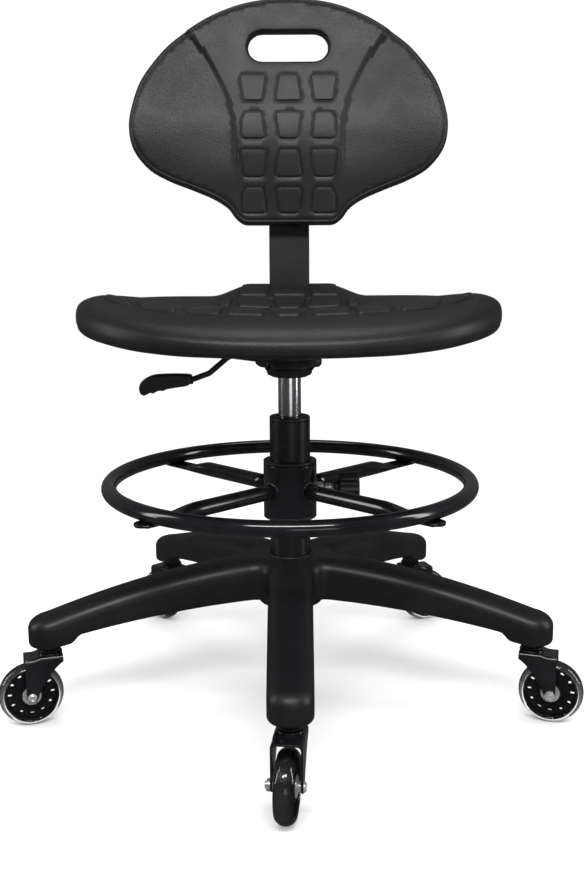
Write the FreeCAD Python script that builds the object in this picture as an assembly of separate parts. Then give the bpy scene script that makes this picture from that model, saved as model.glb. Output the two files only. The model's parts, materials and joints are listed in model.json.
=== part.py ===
"""Drafting chair: moulded polyurethane seat and back, gas lift, clamped foot ring, five-leg base on
skate-wheel casters. Millimetres, +Z up, the sitter faces -Y, origin on the floor under the column axis."""
import FreeCAD
import Part
import math
import os

V = FreeCAD.Vector
X, Y, Z = V(1, 0, 0), V(0, 1, 0), V(0, 0, 1)

# ---- driving dimensions -------------------------------------------------------------------------
FIT = 0.1              # running clearance on a radius
GAP = 0.3              # air between faces that pass each other

# casters: a 76 mm skate wheel in a stamped fork on an 11 mm grip-ring stem
LEGS = 5
FIRST_LEG = -90.0      # the first leg points at the front
STEM_CIRCLE = 302.0
TRAIL = 24.0
WHEEL_R = 38.0
TYRE_W = 24.0
CORE_R = 32.0
CORE_W = 18.0
BEARING_R = 11.0
BEARING_W = 7.0
BEARING_BORE = 4.0
CORE_WINDOWS = 12
SWIVELLED = (-8.0, 0.0, -35.0, 12.0, 0.0)   # how far each caster has turned from trailing straight out
FORK_IN = 28.6         # between the cheeks
FORK_T = 2.2
CROWN_Z = 84.0         # underside of the fork's crown plate
CROWN_T = 3.0
STEM_R = 5.5
STEM_TOP = 114.0

# five-leg base
LEG_FOOT_Z = 92.0
HUB_R = 46.0
HUB_LOW, HUB_HIGH = 118.0, 181.0
LEG_ROOT_W, LEG_TIP_W = 54.0, 48.0
LEG_ROOT_Z, LEG_TIP_Z, LEG_FALL = 181.0, 135.0, 1.7
LEG_ROOT_LOW, LEG_TIP_LOW, LEG_NOSE_LOW = 131.0, 105.0, 97.0
LEG_SHOULDER = 15.0
LEG_WALL = 3.5

# gas lift
TUBE_R, TUBE_WALL = 25.0, 2.0
TUBE_LOW, TUBE_HIGH = 100.0, 350.0
TUBE_TAPER = 1.2       # how much the radius drops in the hub
BUSH_TOP = 355.0
BUSH_LOW = 270.0
CYL_R, CYL_BORE = 14.0, 11.0
CYL_LOW, CYL_HIGH = 200.0, 426.0
CYL_TAPER_LOW, CYL_TIP_R = 404.0, 13.3
ROD_R, PISTON_Z = 5.0, 312.0
PIN_R = 3.9

# seat group
SOCKET_LOW = 403.5
PLATE_Z, PLATE_T = 439.0, 5.0
PLATE_X, PLATE_Y = 190.0, 210.0
SEAT_LOW = PLATE_Z + PLATE_T
SEAT_HALF_W = 249.0
SEAT_FRONT, SEAT_REAR = -225.0, 182.0
SEAT_BOLT_X, SEAT_BOLT_Y = 75.0, 82.0
SEAT_Z = 492.5         # the sitting surface where it is flat
SEAT_SIDE_RISE, SEAT_DISH, SEAT_REAR_RISE = 8.0, 12.5, 14.5
SEAT_ROLL_FROM, SEAT_ROLL, SEAT_ROLL_DROP = -112.0, 48.0, 3.6   # the waterfall front
SEAT_UNDER_LIFT = 2.0  # how far the foam's underside clears the plate outside the pads of its bolts

# back bar, a flat steel J
BAR_W, BAR_T = 56.0, 6.0
BAR_FRONT = 62.0
BAR_KNOB_Y = 92.0
BAR_Z = 431.6          # underside of its flat run
BAR_UP_Y = 219.5       # front face of its upright
BAR_BEND = 34.0        # inside radius
BAR_TOP = 690.0
LEAN = 4.0             # degrees, about the foot of the upright
LEAN_FOOT = V(0, BAR_UP_Y, 480.0)

# foot ring
RING_R, RING_TUBE_R, RING_WALL, RING_Z = 222.5, 9.3, 1.5, 272.5
RING_HUB_R, RING_HUB_IN = 33.0, 28.2
RING_HUB_LOW, RING_HUB_HIGH = 232.0, 296.0
SPOKE_R, SPOKE_Z = 9.5, 264.0
SPOKES = 4
KNOB_Z = 263.0

# lever
LEVER_PIVOT = V(-34, -8, 424.0)
PIN_TOP = 432.0
TONGUE_Z = PIN_TOP + GAP
TONGUE_T = 4.0
GRIP_Y, GRIP_HALF = -11.0, 9.0

# backrest
BACK_LOW, BACK_HIGH = 584.0, 884.0
BACK_KNOB_Z = 625.0
HANDLE_Z, HANDLE_W, HANDLE_H = 819.5, 108.0, 38.0
BACK_T, BACK_SWELL, BACK_WRAP = 30.0, 16.0, 22.0
BACK_GAP = 4.5           # rear face of the moulding to the bar
FLANGE_T = 4.2
SCREW_X, SCREW_ZS = 42.0, (604.0, 672.0)
BOARD_W, BOARD_T, BOARD_H = 116.0, 6.0, 100.0

# foot ring's spokes: a tube squeezed to a tab under the ring
TAB_T = 4.0
TAB_Z = RING_Z - RING_TUBE_R - TAB_T
SPOKE_ANGLE = 45.0
SQUEEZE_FROM, SQUEEZE_TO, SPOKE_END = 150.0, 200.0, 238.0
SPOKE_WALL = 1.6
BUSH_H, BUSH_FLANGE = 26.0, 4.0

# small screws and studs
M6_R, M8_R = 3.0, 4.0

# wheels: a ring of windows in the core's disc, a bearing pocket in each side
BEARING_PLACE = CORE_W / 2 - BEARING_W / 2 + 1.0   # centre of each bearing from the wheel's middle
CORE_RIM, CORE_DISC = 4.5, 5.0
WINDOW_R, WINDOW_IN = 2.4, 8.0
RACE_OUT, RACE_IN, RACE_GROOVE = 9.4, 6.3, 0.5


# ---- helpers ------------------------------------------------------------------------------------
def cyl(r, h, at=V(0, 0, 0), along=Z):
    return Part.makeCylinder(r, h, at, along)


def tube(r_out, r_in, h, at=V(0, 0, 0), along=Z):
    return cyl(r_out, h, at, along).cut(cyl(r_in, h + 2, at - along, along))


def box(lx, ly, lz, centre_low):
    """A box whose bottom face is centred on centre_low."""
    return Part.makeBox(lx, ly, lz, centre_low - V(lx / 2, ly / 2, 0))


def seg(start, end):
    return Part.LineSegment(start, end).toShape()


def wire_of(points):
    """A closed polygon through 3-D points."""
    return Part.makePolygon(list(points) + [points[0]])


def spline(points, closed=False):
    curve = Part.BSplineCurve()
    curve.interpolate(points, PeriodicFlag=closed)
    return curve.toShape()


def prism(edges, direction):
    """The solid swept by a closed outline of edges along a vector."""
    return Part.Face(Part.Wire(Part.__sortEdges__(edges))).extrude(direction)


def ring_of(shape, count, first=0.0, axis_point=V(0, 0, 0), axis=Z):
    """Copies of a shape, turned evenly about an axis."""
    copies = []
    for k in range(count):
        one = shape.copy()
        one.rotate(axis_point, axis, first + k * 360.0 / count)
        copies.append(one)
    return copies


def surface(point, u_values, v_values):
    """A smooth face through point(u, v) on a grid."""
    grid = [[point(u, v) for v in v_values] for u in u_values]
    smooth = Part.BSplineSurface()
    smooth.interpolate(grid)
    return smooth.toShape()


def steps(low, high, count):
    return [low + (high - low) * k / (count - 1) for k in range(count)]


def ease(t):
    """A smooth step from 0 to 1."""
    t = max(0.0, min(1.0, t))
    return t * t * (3 - 2 * t)


def hexagon(across, h, at, along=Z):
    """A hexagonal prism, its first corner along X, Y or Z as suits the axis."""
    side = X if abs(along.x) < 0.5 else Y
    other = along.cross(side)
    r = across / math.sqrt(3)
    corners = [
        at + side * (r * math.cos(k * math.pi / 3)) + other * (r * math.sin(k * math.pi / 3))
        for k in range(6)
    ]
    return Part.Face(wire_of(corners)).extrude(along * h)


def lobed_knob(r, h, lobes, at, along=Z):
    """A hand knob: a disc with scallops between its lobes and a small hub under it."""
    body = cyl(r, h, at, along)
    edge = [e for e in body.Edges if isinstance(e.Curve, Part.Circle)]
    body = body.makeFillet(min(3.0, h / 4), edge)
    side = X if abs(along.x) < 0.5 else Y
    scallop_r = math.pi * r / lobes * 0.62
    start = at + side * (r + scallop_r * 0.45) - along
    scallop = cyl(scallop_r, h + 2, start, along)
    for s in ring_of(scallop, lobes, 180.0 / lobes, at, along):
        body = body.cut(s)
    return body


def lean(shape):
    """Turns a shape of the back group from upright to its lean."""
    shape.rotate(LEAN_FOOT, X, -LEAN)
    return shape


def save(name, shapes):
    """Writes one node: a solid, or a group of separate solids."""
    if not isinstance(shapes, (list, tuple)):
        shapes = [shapes]
    solids = [s for shape in shapes for s in shape.Solids]
    for s in solids:
        assert s.isValid() and s.Volume > 0, name
    whole = solids[0] if len(solids) == 1 else Part.Compound(solids)
    whole.exportStep("parts/%s.step" % name)


# ---- base ---------------------------------------------------------------------------------------
def leg_section(r, half, high, shoulder, low):
    """The arched cross-section of a leg, square to it at distance r from the column."""
    arch = spline([V(r, -half, high - shoulder), V(r, -half * 0.93, high - shoulder * 0.5),
                   V(r, -half * 0.6, high - shoulder * 0.12), V(r, 0, high),
                   V(r, half * 0.6, high - shoulder * 0.12), V(r, half * 0.93, high - shoulder * 0.5),
                   V(r, half, high - shoulder)])
    right = seg(V(r, half, high - shoulder), V(r, half, low))
    foot = seg(V(r, half, low), V(r, -half, low))
    left = seg(V(r, -half, low), V(r, -half, high - shoulder))
    return Part.Wire([arch, right, foot, left])


def leg_top(r):
    """Height of a leg's ridge: nearly level at the hub, falling to the tip."""
    fall = (r - HUB_R) / (STEM_CIRCLE - HUB_R)
    return LEG_ROOT_Z - (LEG_ROOT_Z - LEG_TIP_Z) * fall ** LEG_FALL


def leg_low(r):
    """Height of a leg's lower edge, which arches between the hub and the tip."""
    part = (r - HUB_R) / (STEM_CIRCLE - HUB_R)
    return LEG_ROOT_LOW - (LEG_ROOT_LOW - LEG_TIP_LOW) * part ** 2


def leg_blank(inset):
    """One leg along +X; inset shrinks it for the hollow, which is open underneath."""
    sections = []
    for r in steps(HUB_R - 14, STEM_CIRCLE, 8):
        part = (r - HUB_R) / (STEM_CIRCLE - HUB_R)
        half = (LEG_ROOT_W + (LEG_TIP_W - LEG_ROOT_W) * part) / 2 - inset
        low = LEG_FOOT_Z - 10 if inset else leg_low(r)
        sections.append(leg_section(r, half, leg_top(max(r, HUB_R)) - inset, LEG_SHOULDER - inset / 2, low))
    body = Part.makeLoft(sections, True, False)
    half = LEG_TIP_W / 2 - inset
    high, shoulder = LEG_TIP_Z - inset, LEG_SHOULDER - inset / 2
    x0, low = STEM_CIRCLE, LEG_FOOT_Z - 10 if inset else LEG_NOSE_LOW
    dome = spline([V(x0, 0, high), V(x0 + half * 0.6, 0, high - shoulder * 0.2),
                   V(x0 + half * 0.93, 0, high - shoulder * 0.62), V(x0 + half, 0, high - shoulder * 1.2)])
    edges = [dome, seg(V(x0 + half, 0, high - shoulder * 1.2), V(x0 + half, 0, low)),
             seg(V(x0 + half, 0, low), V(x0, 0, low)), seg(V(x0, 0, low), V(x0, 0, high))]
    nose = Part.Face(Part.Wire(Part.__sortEdges__(edges))).revolve(V(x0, 0, 0), Z, 360)
    return body.fuse(nose)


def star_base():
    outer = leg_blank(0.0)
    hollow = leg_blank(LEG_WALL).cut(cyl(HUB_R - 4, 200))
    boss = cyl(STEM_R + 5, 60, V(STEM_CIRCLE, 0, LEG_FOOT_Z))
    ribs = [box(2.5, 60, 100, V(r, 0, LEG_FOOT_Z)) for r in steps(90, 265, 4)]
    spine = box(STEM_CIRCLE - 40, 2.5, 100, V(STEM_CIRCLE / 2 + 20, 0, LEG_FOOT_Z))
    core = hollow.cut(spine.fuse(ribs + [boss]).cut(leg_underside()))
    leg = outer.cut(core)
    hub = cyl(HUB_R, HUB_HIGH - HUB_LOW, V(0, 0, HUB_LOW))
    rims = [e for e in hub.Edges if isinstance(e.Curve, Part.Circle)]
    hub = hub.makeFillet(5.0, rims)
    body = hub.multiFuse(ring_of(leg, LEGS, FIRST_LEG))
    body = body.cut(tube_blank(0.0))
    stem_hole = cyl(STEM_R, STEM_TOP - LEG_FOOT_Z + 1, V(STEM_CIRCLE, 0, LEG_FOOT_Z))
    for hole in ring_of(stem_hole, LEGS, FIRST_LEG):
        body = body.cut(hole)
    return body


def leg_underside():
    """What lies below a leg's lower edge, so that the ribs stop flush with it."""
    wide, deep, rise = 40.0, 70.0, 1.5
    line = [V(r, -wide, leg_low(r) + rise) for r in steps(HUB_R - 14, STEM_CIRCLE - 18, 8)]
    outer = V(line[-1].x, -wide, deep)
    inner = V(line[0].x, -wide, deep)
    edges = [spline(line), seg(line[-1], outer), seg(outer, inner), seg(inner, line[0])]
    return prism(edges, V(0, 2 * wide, 0))


def caster_stem():
    """A grip-ring stem: 11 mm pin, flange over the fork and a riveted head under the crown plate."""
    x = STEM_CIRCLE
    pin = cyl(STEM_R, STEM_TOP - 2 - CROWN_Z + GAP, V(x, 0, CROWN_Z - GAP))
    pin = pin.cut(tube(STEM_R + 1, STEM_R - 0.6, 3, V(x, 0, 104)))
    flange = cyl(13.0, 1.4, V(x, 0, LEG_FOOT_Z - 1.4))
    head = cyl(8.0, 2.0, V(x, 0, CROWN_Z - GAP - 2.0))
    return pin.fuse([flange, head])


# ---- gas lift -----------------------------------------------------------------------------------
def tube_blank(inset):
    """The outer tube's outside, with the tapered end that seats in the base; inset makes its bore."""
    low = V(0, 0, TUBE_LOW - (0 if not inset else -4))
    cone_h = HUB_HIGH - 3 - low.z
    end = Part.makeCone(TUBE_R - TUBE_TAPER - inset, TUBE_R - inset, cone_h, low, Z)
    return end.fuse(cyl(TUBE_R - inset, TUBE_HIGH - (HUB_HIGH - 3), V(0, 0, HUB_HIGH - 3)))


def lift_outer_tube():
    shell = tube_blank(0.0).cut(tube_blank(TUBE_WALL))
    shell = shell.cut(cyl(TUBE_R - TUBE_WALL, 30, V(0, 0, TUBE_HIGH - 20)))
    return shell.cut(cyl(ROD_R + FIT, 20, V(0, 0, TUBE_LOW - 5))).removeSplitter()


def lift_guide_bush():
    collar = tube(TUBE_R, CYL_R + FIT, BUSH_TOP - TUBE_HIGH, V(0, 0, TUBE_HIGH))
    outer = [e for e in collar.Edges if isinstance(e.Curve, Part.Circle)
             and e.Curve.Radius > 20 and e.BoundBox.ZMin > TUBE_HIGH + 1]
    collar = collar.makeFillet(2.0, outer)
    sleeve = tube(TUBE_R - TUBE_WALL, CYL_R + FIT, TUBE_HIGH - BUSH_LOW, V(0, 0, BUSH_LOW))
    return collar.fuse(sleeve).removeSplitter()


def thrust_bearing():
    """Two hardened washers with a ring of balls between them, on the tube's floor."""
    floor = TUBE_LOW + 4
    washer_r, washer_t, ball_r = 12.0, 1.5, 1.98
    washers = [tube(washer_r, ROD_R + FIT, washer_t, V(0, 0, z)) for z in (floor, floor + washer_t + 4)]
    ball = Part.makeSphere(ball_r, V(9, 0, floor + washer_t + 2))
    return washers + ring_of(ball, 10)


def piston_rod():
    low = TUBE_LOW - 6
    shoulder_z = TUBE_LOW + 4 + 7.0 + GAP
    rod = cyl(ROD_R, PISTON_Z - low, V(0, 0, low))
    shoulder = cyl(9.0, 3.0, V(0, 0, shoulder_z))
    piston = cyl(CYL_BORE - FIT, 10, V(0, 0, PISTON_Z - 5))
    groove = tube(ROD_R + 1, ROD_R - 1, 1.6, V(0, 0, TUBE_LOW - 3))
    return rod.fuse([shoulder, piston]).cut(groove)


def rod_clip():
    """A spring clip in the rod's groove, under the tube."""
    ring = tube(9.0, ROD_R - 1, 1.2, V(0, 0, TUBE_LOW - 2.8))
    return ring.cut(box(3.0, 20, 3, V(0, -10, TUBE_LOW - 3.5)))


def rebound_buffer():
    """The rubber ring on the rod that softens the bottom of the stroke."""
    return tube(11.0, ROD_R, 14, V(0, 0, TUBE_LOW + 14 + GAP))


def lift_cylinder():
    body = cyl(CYL_R, CYL_TAPER_LOW - CYL_LOW, V(0, 0, CYL_LOW))
    tip = Part.makeCone(CYL_R, CYL_TIP_R, CYL_HIGH - CYL_TAPER_LOW, V(0, 0, CYL_TAPER_LOW), Z)
    body = body.fuse(tip)
    body = body.cut(cyl(CYL_BORE, 176, V(0, 0, CYL_LOW + 12)))
    body = body.cut(cyl(ROD_R + FIT, 30, V(0, 0, CYL_LOW - 5)))
    return body.cut(cyl(PIN_R + FIT, 60, V(0, 0, CYL_LOW + 180)))


def valve_pin():
    pin = cyl(PIN_R, 34, V(0, 0, PIN_TOP - 34))
    return pin.makeFillet(1.0, [e for e in pin.Edges if e.BoundBox.ZMin > PIN_TOP - 1])


# ---- seat group ---------------------------------------------------------------------------------
def seat_socket():
    """The pressed cup under the plate, whose taper grips the top of the lift."""
    profile = [V(CYL_R, 0, SOCKET_LOW), V(20, 0, SOCKET_LOW), V(27, 0, SOCKET_LOW + 3),
               V(28.5, 0, SOCKET_LOW + 8), V(28.5, 0, 418), V(34, 0, 424), V(41, 0, 427.5),
               V(41, 0, 431), V(35, 0, 431), V(35, 0, PLATE_Z), V(18, 0, PLATE_Z),
               V(18, 0, CYL_HIGH), V(CYL_TIP_R, 0, CYL_HIGH), V(CYL_R, 0, CYL_TAPER_LOW)]
    body = Part.Face(wire_of(profile)).revolve(V(0, 0, 0), Z, 360)
    slot = box(41, 28, 30, V(-39.5, -4, 414))
    inner_slot = box(15, 28, 20, V(-17.5, -4, CYL_HIGH + 0.5))   # room for the lever's tongue
    return body.cut(slot).cut(inner_slot)


def seat_plate():
    plate = box(PLATE_X, PLATE_Y, PLATE_T - 1.5, V(0, 0, PLATE_Z + 1.5))
    corners = [e for e in plate.Edges if e.BoundBox.ZLength > 2]
    plate = plate.makeFillet(16.0, corners)
    pad = box(86, 190, 1.5, V(0, 0, PLATE_Z))
    lip_t, lip_h = 3.0, 3.5
    lip_x, lip_z = (PLATE_X - lip_t) / 2, PLATE_Z + 1.5 - lip_h
    lips = [box(lip_t, PLATE_Y - 50, lip_h, V(side * lip_x, 0, lip_z)) for side in (-1, 1)]
    plate = plate.fuse([pad] + lips)
    window = cyl(17.0, 20, V(0, 0, PLATE_Z - 5))
    plate = plate.cut(window)
    for sx in (-1, 1):
        for sy in (-1, 1):
            plate = plate.cut(cyl(3.3, 20, V(sx * SEAT_BOLT_X, sy * SEAT_BOLT_Y, PLATE_Z - 5)))
    return plate.removeSplitter()


def bar_channel():
    """The folded channel that the back bar slides in, with the knob's threaded boss."""
    low = BAR_Z - GAP - 3
    outer = box(BAR_W + 8, 106, PLATE_Z - low, V(0, 97, low))
    bore = box(BAR_W + 2 * GAP, 110, BAR_T + 2 * GAP, V(0, 97, BAR_Z - GAP))
    boss = hexagon(17, 5, V(0, BAR_KNOB_Y, low - 5))
    return outer.cut(bore).fuse(boss).cut(cyl(4 + FIT, 12, V(0, BAR_KNOB_Y, low - 8))).removeSplitter()


def lever_bracket():
    """Two ears under the plate with the lever's pivot pin."""
    p = LEVER_PIVOT
    ears = [box(14, 2.5, PLATE_Z - p.z + 5, V(p.x, p.y + s * 7.5, p.z - 5)) for s in (-1, 1)]
    pin = cyl(2.5, 17.5, V(p.x, p.y - 8.75, p.z), Y)
    return ears[0].fuse([ears[1], pin])


def seat_outline():
    """The seat's plan, from the middle of the front round one side to the middle of the rear."""
    half = [(0, SEAT_FRONT), (50, -223), (95, -217), (138, -204), (178, -182), (210, -149), (232, -110),
            (245, -65), (SEAT_HALF_W, -20), (246, 26), (236, 70), (218, 106), (192, 136), (158, 157),
            (118, 169), (62, 179), (0, SEAT_REAR)]
    points = half + [(-x, y) for x, y in reversed(half[1:-1])]
    return [V(x, y, SEAT_LOW - 10) for x, y in points]


def seat_top(x, y):
    """Sitting surface: it rolls down at the front, and rises to the sides and to the middle of the rear."""
    side = ease((abs(x) - 90) / 130) * ease((y + 150) / 100)
    fall = max(0.0, (SEAT_ROLL_FROM - y) / SEAT_ROLL) ** 2
    dish = math.exp(-(x / 125) ** 2 - ((y - 5) / 75) ** 2)
    rear = ease((y - 60) / 90) * (1 - ease((abs(x) - 52) / 52))
    z = SEAT_Z - SEAT_ROLL_DROP * fall + SEAT_SIDE_RISE * side - SEAT_DISH * dish + SEAT_REAR_RISE * rear
    return V(x, y, z)


def seat_under(x, y):
    """Underside: flat over the plate, sweeping up to the rim at the sides and rear."""
    side = 15.0 * ease((abs(x) - 100) / 150) + 3.0 * ease((abs(x) - 30) / 120)
    rear, front = 20.0 * ease((y - 100) / 90), 3.0 * ease((-y - 170) / 50)
    return V(x, y, SEAT_LOW + SEAT_UNDER_LIFT + side + rear + front)


def four_ways(shape):
    """The shape and its mirror images to the left, to the rear and to both."""
    pair = [shape, shape.mirror(V(0, 0, 0), X)]
    return pair + [s.mirror(V(0, 0, 0), Y) for s in pair]


def seat_pad():
    plan = prism([spline(seat_outline(), closed=True)], V(0, 0, 90))
    xs, ys = steps(-270, 270, 25), steps(-245, 215, 23)
    above = surface(seat_top, xs, ys).extrude(V(0, 0, 80))
    below = surface(seat_under, xs, ys).extrude(V(0, 0, -80))
    body = plan.cut(above).cut(below)
    rest = cyl(14.0, 12.0, V(SEAT_BOLT_X, SEAT_BOLT_Y, SEAT_LOW))
    rests = four_ways(rest)
    return body.fuse(rests)


def seat_core_board():
    """The board moulded into the seat, which holds the tee nuts."""
    board = box(250, 250, 9, V(0, 0, SEAT_LOW + 7))
    corners = [e for e in board.Edges if e.BoundBox.ZLength > 5]
    return board.makeFillet(40.0, corners)


def seat_bolt():
    head = hexagon(10, 4, V(SEAT_BOLT_X, SEAT_BOLT_Y, PLATE_Z + 1.5 - 4))
    shank = cyl(3.0, 20, V(SEAT_BOLT_X, SEAT_BOLT_Y, PLATE_Z - 2))
    return head.fuse(shank)


# ---- lever --------------------------------------------------------------------------------------
def round_bar(points, radius, bends):
    """A round rod along straight runs joined by tangent arcs."""
    edges, start = [], points[0]
    for k in range(1, len(points) - 1):
        a, b, c = points[k - 1], points[k], points[k + 1]
        u, w = (a - b).normalize(), (c - b).normalize()
        turn = math.pi - u.getAngle(w)
        reach = bends * math.tan(turn / 2)
        p, q = b + u * reach, b + w * reach
        centre = b + (u + w).normalize() * (bends / math.cos(turn / 2))
        middle = centre + (b - centre).normalize() * bends
        edges += [Part.LineSegment(start, p).toShape(), Part.Arc(p, middle, q).toShape()]
        start = q
    edges.append(Part.LineSegment(start, points[-1]).toShape())
    path = Part.Wire(edges)
    section = Part.Wire(Part.Circle(points[0], points[1] - points[0], radius).toShape())
    return path.makePipeShell([section], True, False)


def lever_rod():
    """The bent rod, flattened to a tongue over the valve pin, with an eye on the pivot."""
    p = LEVER_PIVOT
    path = [V(p.x, p.y, p.z + 1), V(-72, p.y, 430), V(-97, p.y - 2, 409), V(-118, p.y - 3, 401.5),
            V(-168, p.y - 3, 395.5)]
    rod = round_bar(path, 3.5, 11.0)
    eye = cyl(7.0, 10, V(p.x, p.y - 5, p.z), Y)
    tongue = box(29, 11, TONGUE_T, V(-11.5, -2.5, TONGUE_Z))
    y, top = p.y - 3, TONGUE_Z + TONGUE_T
    profile = wire_of([V(p.x - 4, y, p.z), V(p.x + 6, y, p.z), V(p.x + 12, y, TONGUE_Z), V(p.x + 12, y, top),
                       V(p.x, y, top)])
    link = Part.Face(profile).extrude(V(0, 6, 0))
    bore = cyl(2.5 + FIT, 40, V(p.x, p.y - 20, p.z), Y)
    return rod.fuse([eye, tongue, link]).cut(bore)


def lever_grip():
    """A paddle with finger ridges under its outer end, bored for the rod."""
    y0, half = GRIP_Y, GRIP_HALF
    edges = [
        spline([V(-122, y0, 408.5), V(-150, y0, 408.5), V(-170, y0, 406), V(-181, y0, 398),
                V(-182, y0, 390), V(-178, y0, 383.5)]),
        spline([V(-178, y0, 383.5), V(-173, y0, 382.5), V(-169, y0, 386), V(-165, y0, 385),
                V(-160, y0, 388.5), V(-155, y0, 388), V(-150, y0, 390.5), V(-123, y0, 394.5)]),
        Part.LineSegment(V(-123, y0, 394.5), V(-120, y0, 398)).toShape(),
        Part.LineSegment(V(-120, y0, 398), V(-120, y0, 406)).toShape(),
        Part.LineSegment(V(-120, y0, 406), V(-122, y0, 408.5)).toShape(),
    ]
    body = prism(edges, V(0, 2 * half, 0))
    body.translate(V(0, -half, 0))
    return body.cut(lever_rod())


# ---- back bar -----------------------------------------------------------------------------------
def back_bar():
    """A flat bar bent up behind the seat, leaning back a little above the seat."""
    low, top = BAR_Z, BAR_Z + BAR_T
    r_in, r_out = BAR_BEND, BAR_BEND + BAR_T
    front, rear = BAR_UP_Y, BAR_UP_Y + BAR_T
    c = V(0, front - r_in, top + r_in)
    q = math.sqrt(0.5)
    a = math.radians(LEAN)
    kink = LEAN_FOOT.z
    run = (BAR_TOP - kink)
    up = V(0, math.sin(a), math.cos(a)) * run
    across = V(0, math.cos(a), -math.sin(a)) * BAR_T
    tip = V(0, front, kink) + up
    inner_kink = V(0, front, kink) + across + up.normalize() * (BAR_T * math.tan(a / 2))
    edges = [
        seg(V(0, BAR_FRONT, top), V(0, front - r_in, top)),
        Part.Arc(V(0, front - r_in, top), c + V(0, q * r_in, -q * r_in), V(0, front, top + r_in)).toShape(),
        seg(V(0, front, top + r_in), V(0, front, kink)),
        seg(V(0, front, kink), tip),
        seg(tip, tip + across),
        seg(tip + across, inner_kink),
        seg(inner_kink, V(0, rear, top + r_in)),
        Part.Arc(V(0, rear, top + r_in), c + V(0, q * r_out, -q * r_out), V(0, front - r_in, low)).toShape(),
        seg(V(0, front - r_in, low), V(0, BAR_FRONT, low)),
        seg(V(0, BAR_FRONT, low), V(0, BAR_FRONT, top)),
    ]
    bar = prism(edges, V(BAR_W, 0, 0))
    bar.translate(V(-BAR_W / 2, 0, 0))
    return bar.removeSplitter()


def bar_end_cap():
    """A plastic cap over the top of the bar."""
    y0 = BAR_UP_Y + BAR_T / 2
    cap = box(BAR_W, BAR_T, 4, V(0, y0, BAR_TOP))
    rims = [e for e in cap.Edges if e.BoundBox.ZMin > BAR_TOP + 3 and e.BoundBox.XLength > 10]
    return lean(cap.makeFillet(2.0, rims))


def bar_knob():
    """The depth lock: a lobed knob whose stud presses on the bar through the channel."""
    at = V(0, BAR_KNOB_Y, 404)
    knob = lobed_knob(42, 12, 8, at)
    hub = cyl(11, 6, at + V(0, 0, 12))
    stud = cyl(4.0, BAR_Z - GAP - 421, V(0, BAR_KNOB_Y, 421))
    return knob.fuse([hub, stud])


# ---- backrest -----------------------------------------------------------------------------------
def back_outline():
    return [(0, BACK_HIGH), (70, 874), (133, 842), (181, 795), (208, 741), (210, 690),
            (182, 654), (130, 632), (91, 615), (70, 592), (54, BACK_LOW)]


def back_front(x, z):
    """Front face: a lumbar swell in the middle and wings that wrap forward."""
    swell = -BACK_SWELL * math.exp(-((z - 700.0) / 95.0) ** 2)
    wrap = -BACK_WRAP * (abs(x) / 210.0) ** 2.2
    return V(x, BAR_UP_Y - BACK_T + swell + wrap, z)


def back_rear(x, z):
    """Rear face: flat over the bracket, following the wings outside it."""
    out = ease((abs(x) - 70) / 140)
    return V(x, BAR_UP_Y - BACK_GAP - (BACK_WRAP + 8) * out, z)


def backrest_pad():
    """The back's moulding: outline between its front and rear faces, with a hand slot."""
    half = back_outline()
    right = spline([V(x, 100, z) for x, z in half])
    left = spline([V(-x, 100, z) for x, z in half])
    base = seg(V(-half[-1][0], 100, BACK_LOW), V(half[-1][0], 100, BACK_LOW))
    plate = prism([right, left, base], V(0, 200, 0))
    xs, zs = steps(-230, 230, 17), steps(560, 910, 13)
    body = plate.cut(surface(back_front, xs, zs).extrude(V(0, -150, 0)))
    body = body.cut(surface(back_rear, xs, zs).extrude(V(0, 150, 0)))
    slot = box(HANDLE_W - HANDLE_H, 200, HANDLE_H, V(0, 200, HANDLE_Z - HANDLE_H / 2))
    ends = [cyl(HANDLE_H / 2, 200, V(s * (HANDLE_W - HANDLE_H) / 2, 100, HANDLE_Z), Y) for s in (-1, 1)]
    body = body.cut(slot.fuse(ends)).cut(back_core_blank())
    for x, z in back_screw_places():
        body = body.cut(cyl(M6_R, 14.0, V(x, BAR_UP_Y - BACK_GAP - 13.9, z), Y))
    return lean(body)


def back_core_blank():
    board = box(BOARD_W, BOARD_T, BOARD_H, V(0, BAR_UP_Y - BACK_GAP - 10, BACK_LOW + 8))
    edges = [e for e in board.Edges if e.BoundBox.YLength > 5]
    return board.makeFillet(12.0, edges)


def back_screw_places():
    return [(side * SCREW_X, z) for side in (-1, 1) for z in SCREW_ZS]


def back_core_board():
    """The plate moulded into the back, which the bracket's screws bite in."""
    board = back_core_blank()
    for x, z in back_screw_places():
        board = board.cut(cyl(M6_R, 20, V(x, BAR_UP_Y - BACK_GAP - 20, z), Y))
    return lean(board)


def back_bracket():
    """The folded sleeve on the back's rear face that rides on the bar."""
    front = BAR_UP_Y - BACK_GAP
    flange = box(100, FLANGE_T, 92, V(0, front + FLANGE_T / 2, BACK_LOW + 8))
    sleeve = box(BAR_W + 8, BAR_T + 8.5, 72, V(0, front + FLANGE_T + (BAR_T + 4.3) / 2, BACK_LOW + 18))
    bore = box(BAR_W + 2 * GAP, BAR_T + 2 * GAP, 160, V(0, BAR_UP_Y + BAR_T / 2, BACK_LOW - 10))
    boss = cyl(9, 5, V(0, BAR_UP_Y + BAR_T + 4, BACK_KNOB_Z), Y)
    body = flange.fuse([sleeve, boss])
    body = body.cut(bore).cut(cyl(M8_R + FIT, 30, V(0, BAR_UP_Y + BAR_T, BACK_KNOB_Z), Y))
    for x, z in back_screw_places():
        body = body.cut(cyl(M6_R, 30, V(x, front - 5, z), Y))
    return lean(body.removeSplitter())


def back_screws():
    face, long = BAR_UP_Y - BACK_GAP + FLANGE_T, 17.5
    out = []
    for x, z in back_screw_places():
        shank = cyl(M6_R, long, V(x, face - long, z), Y)
        head = cyl(5.5, 3, V(x, face, z), Y)
        out.append(lean(shank.fuse(head)))
    return out


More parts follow.
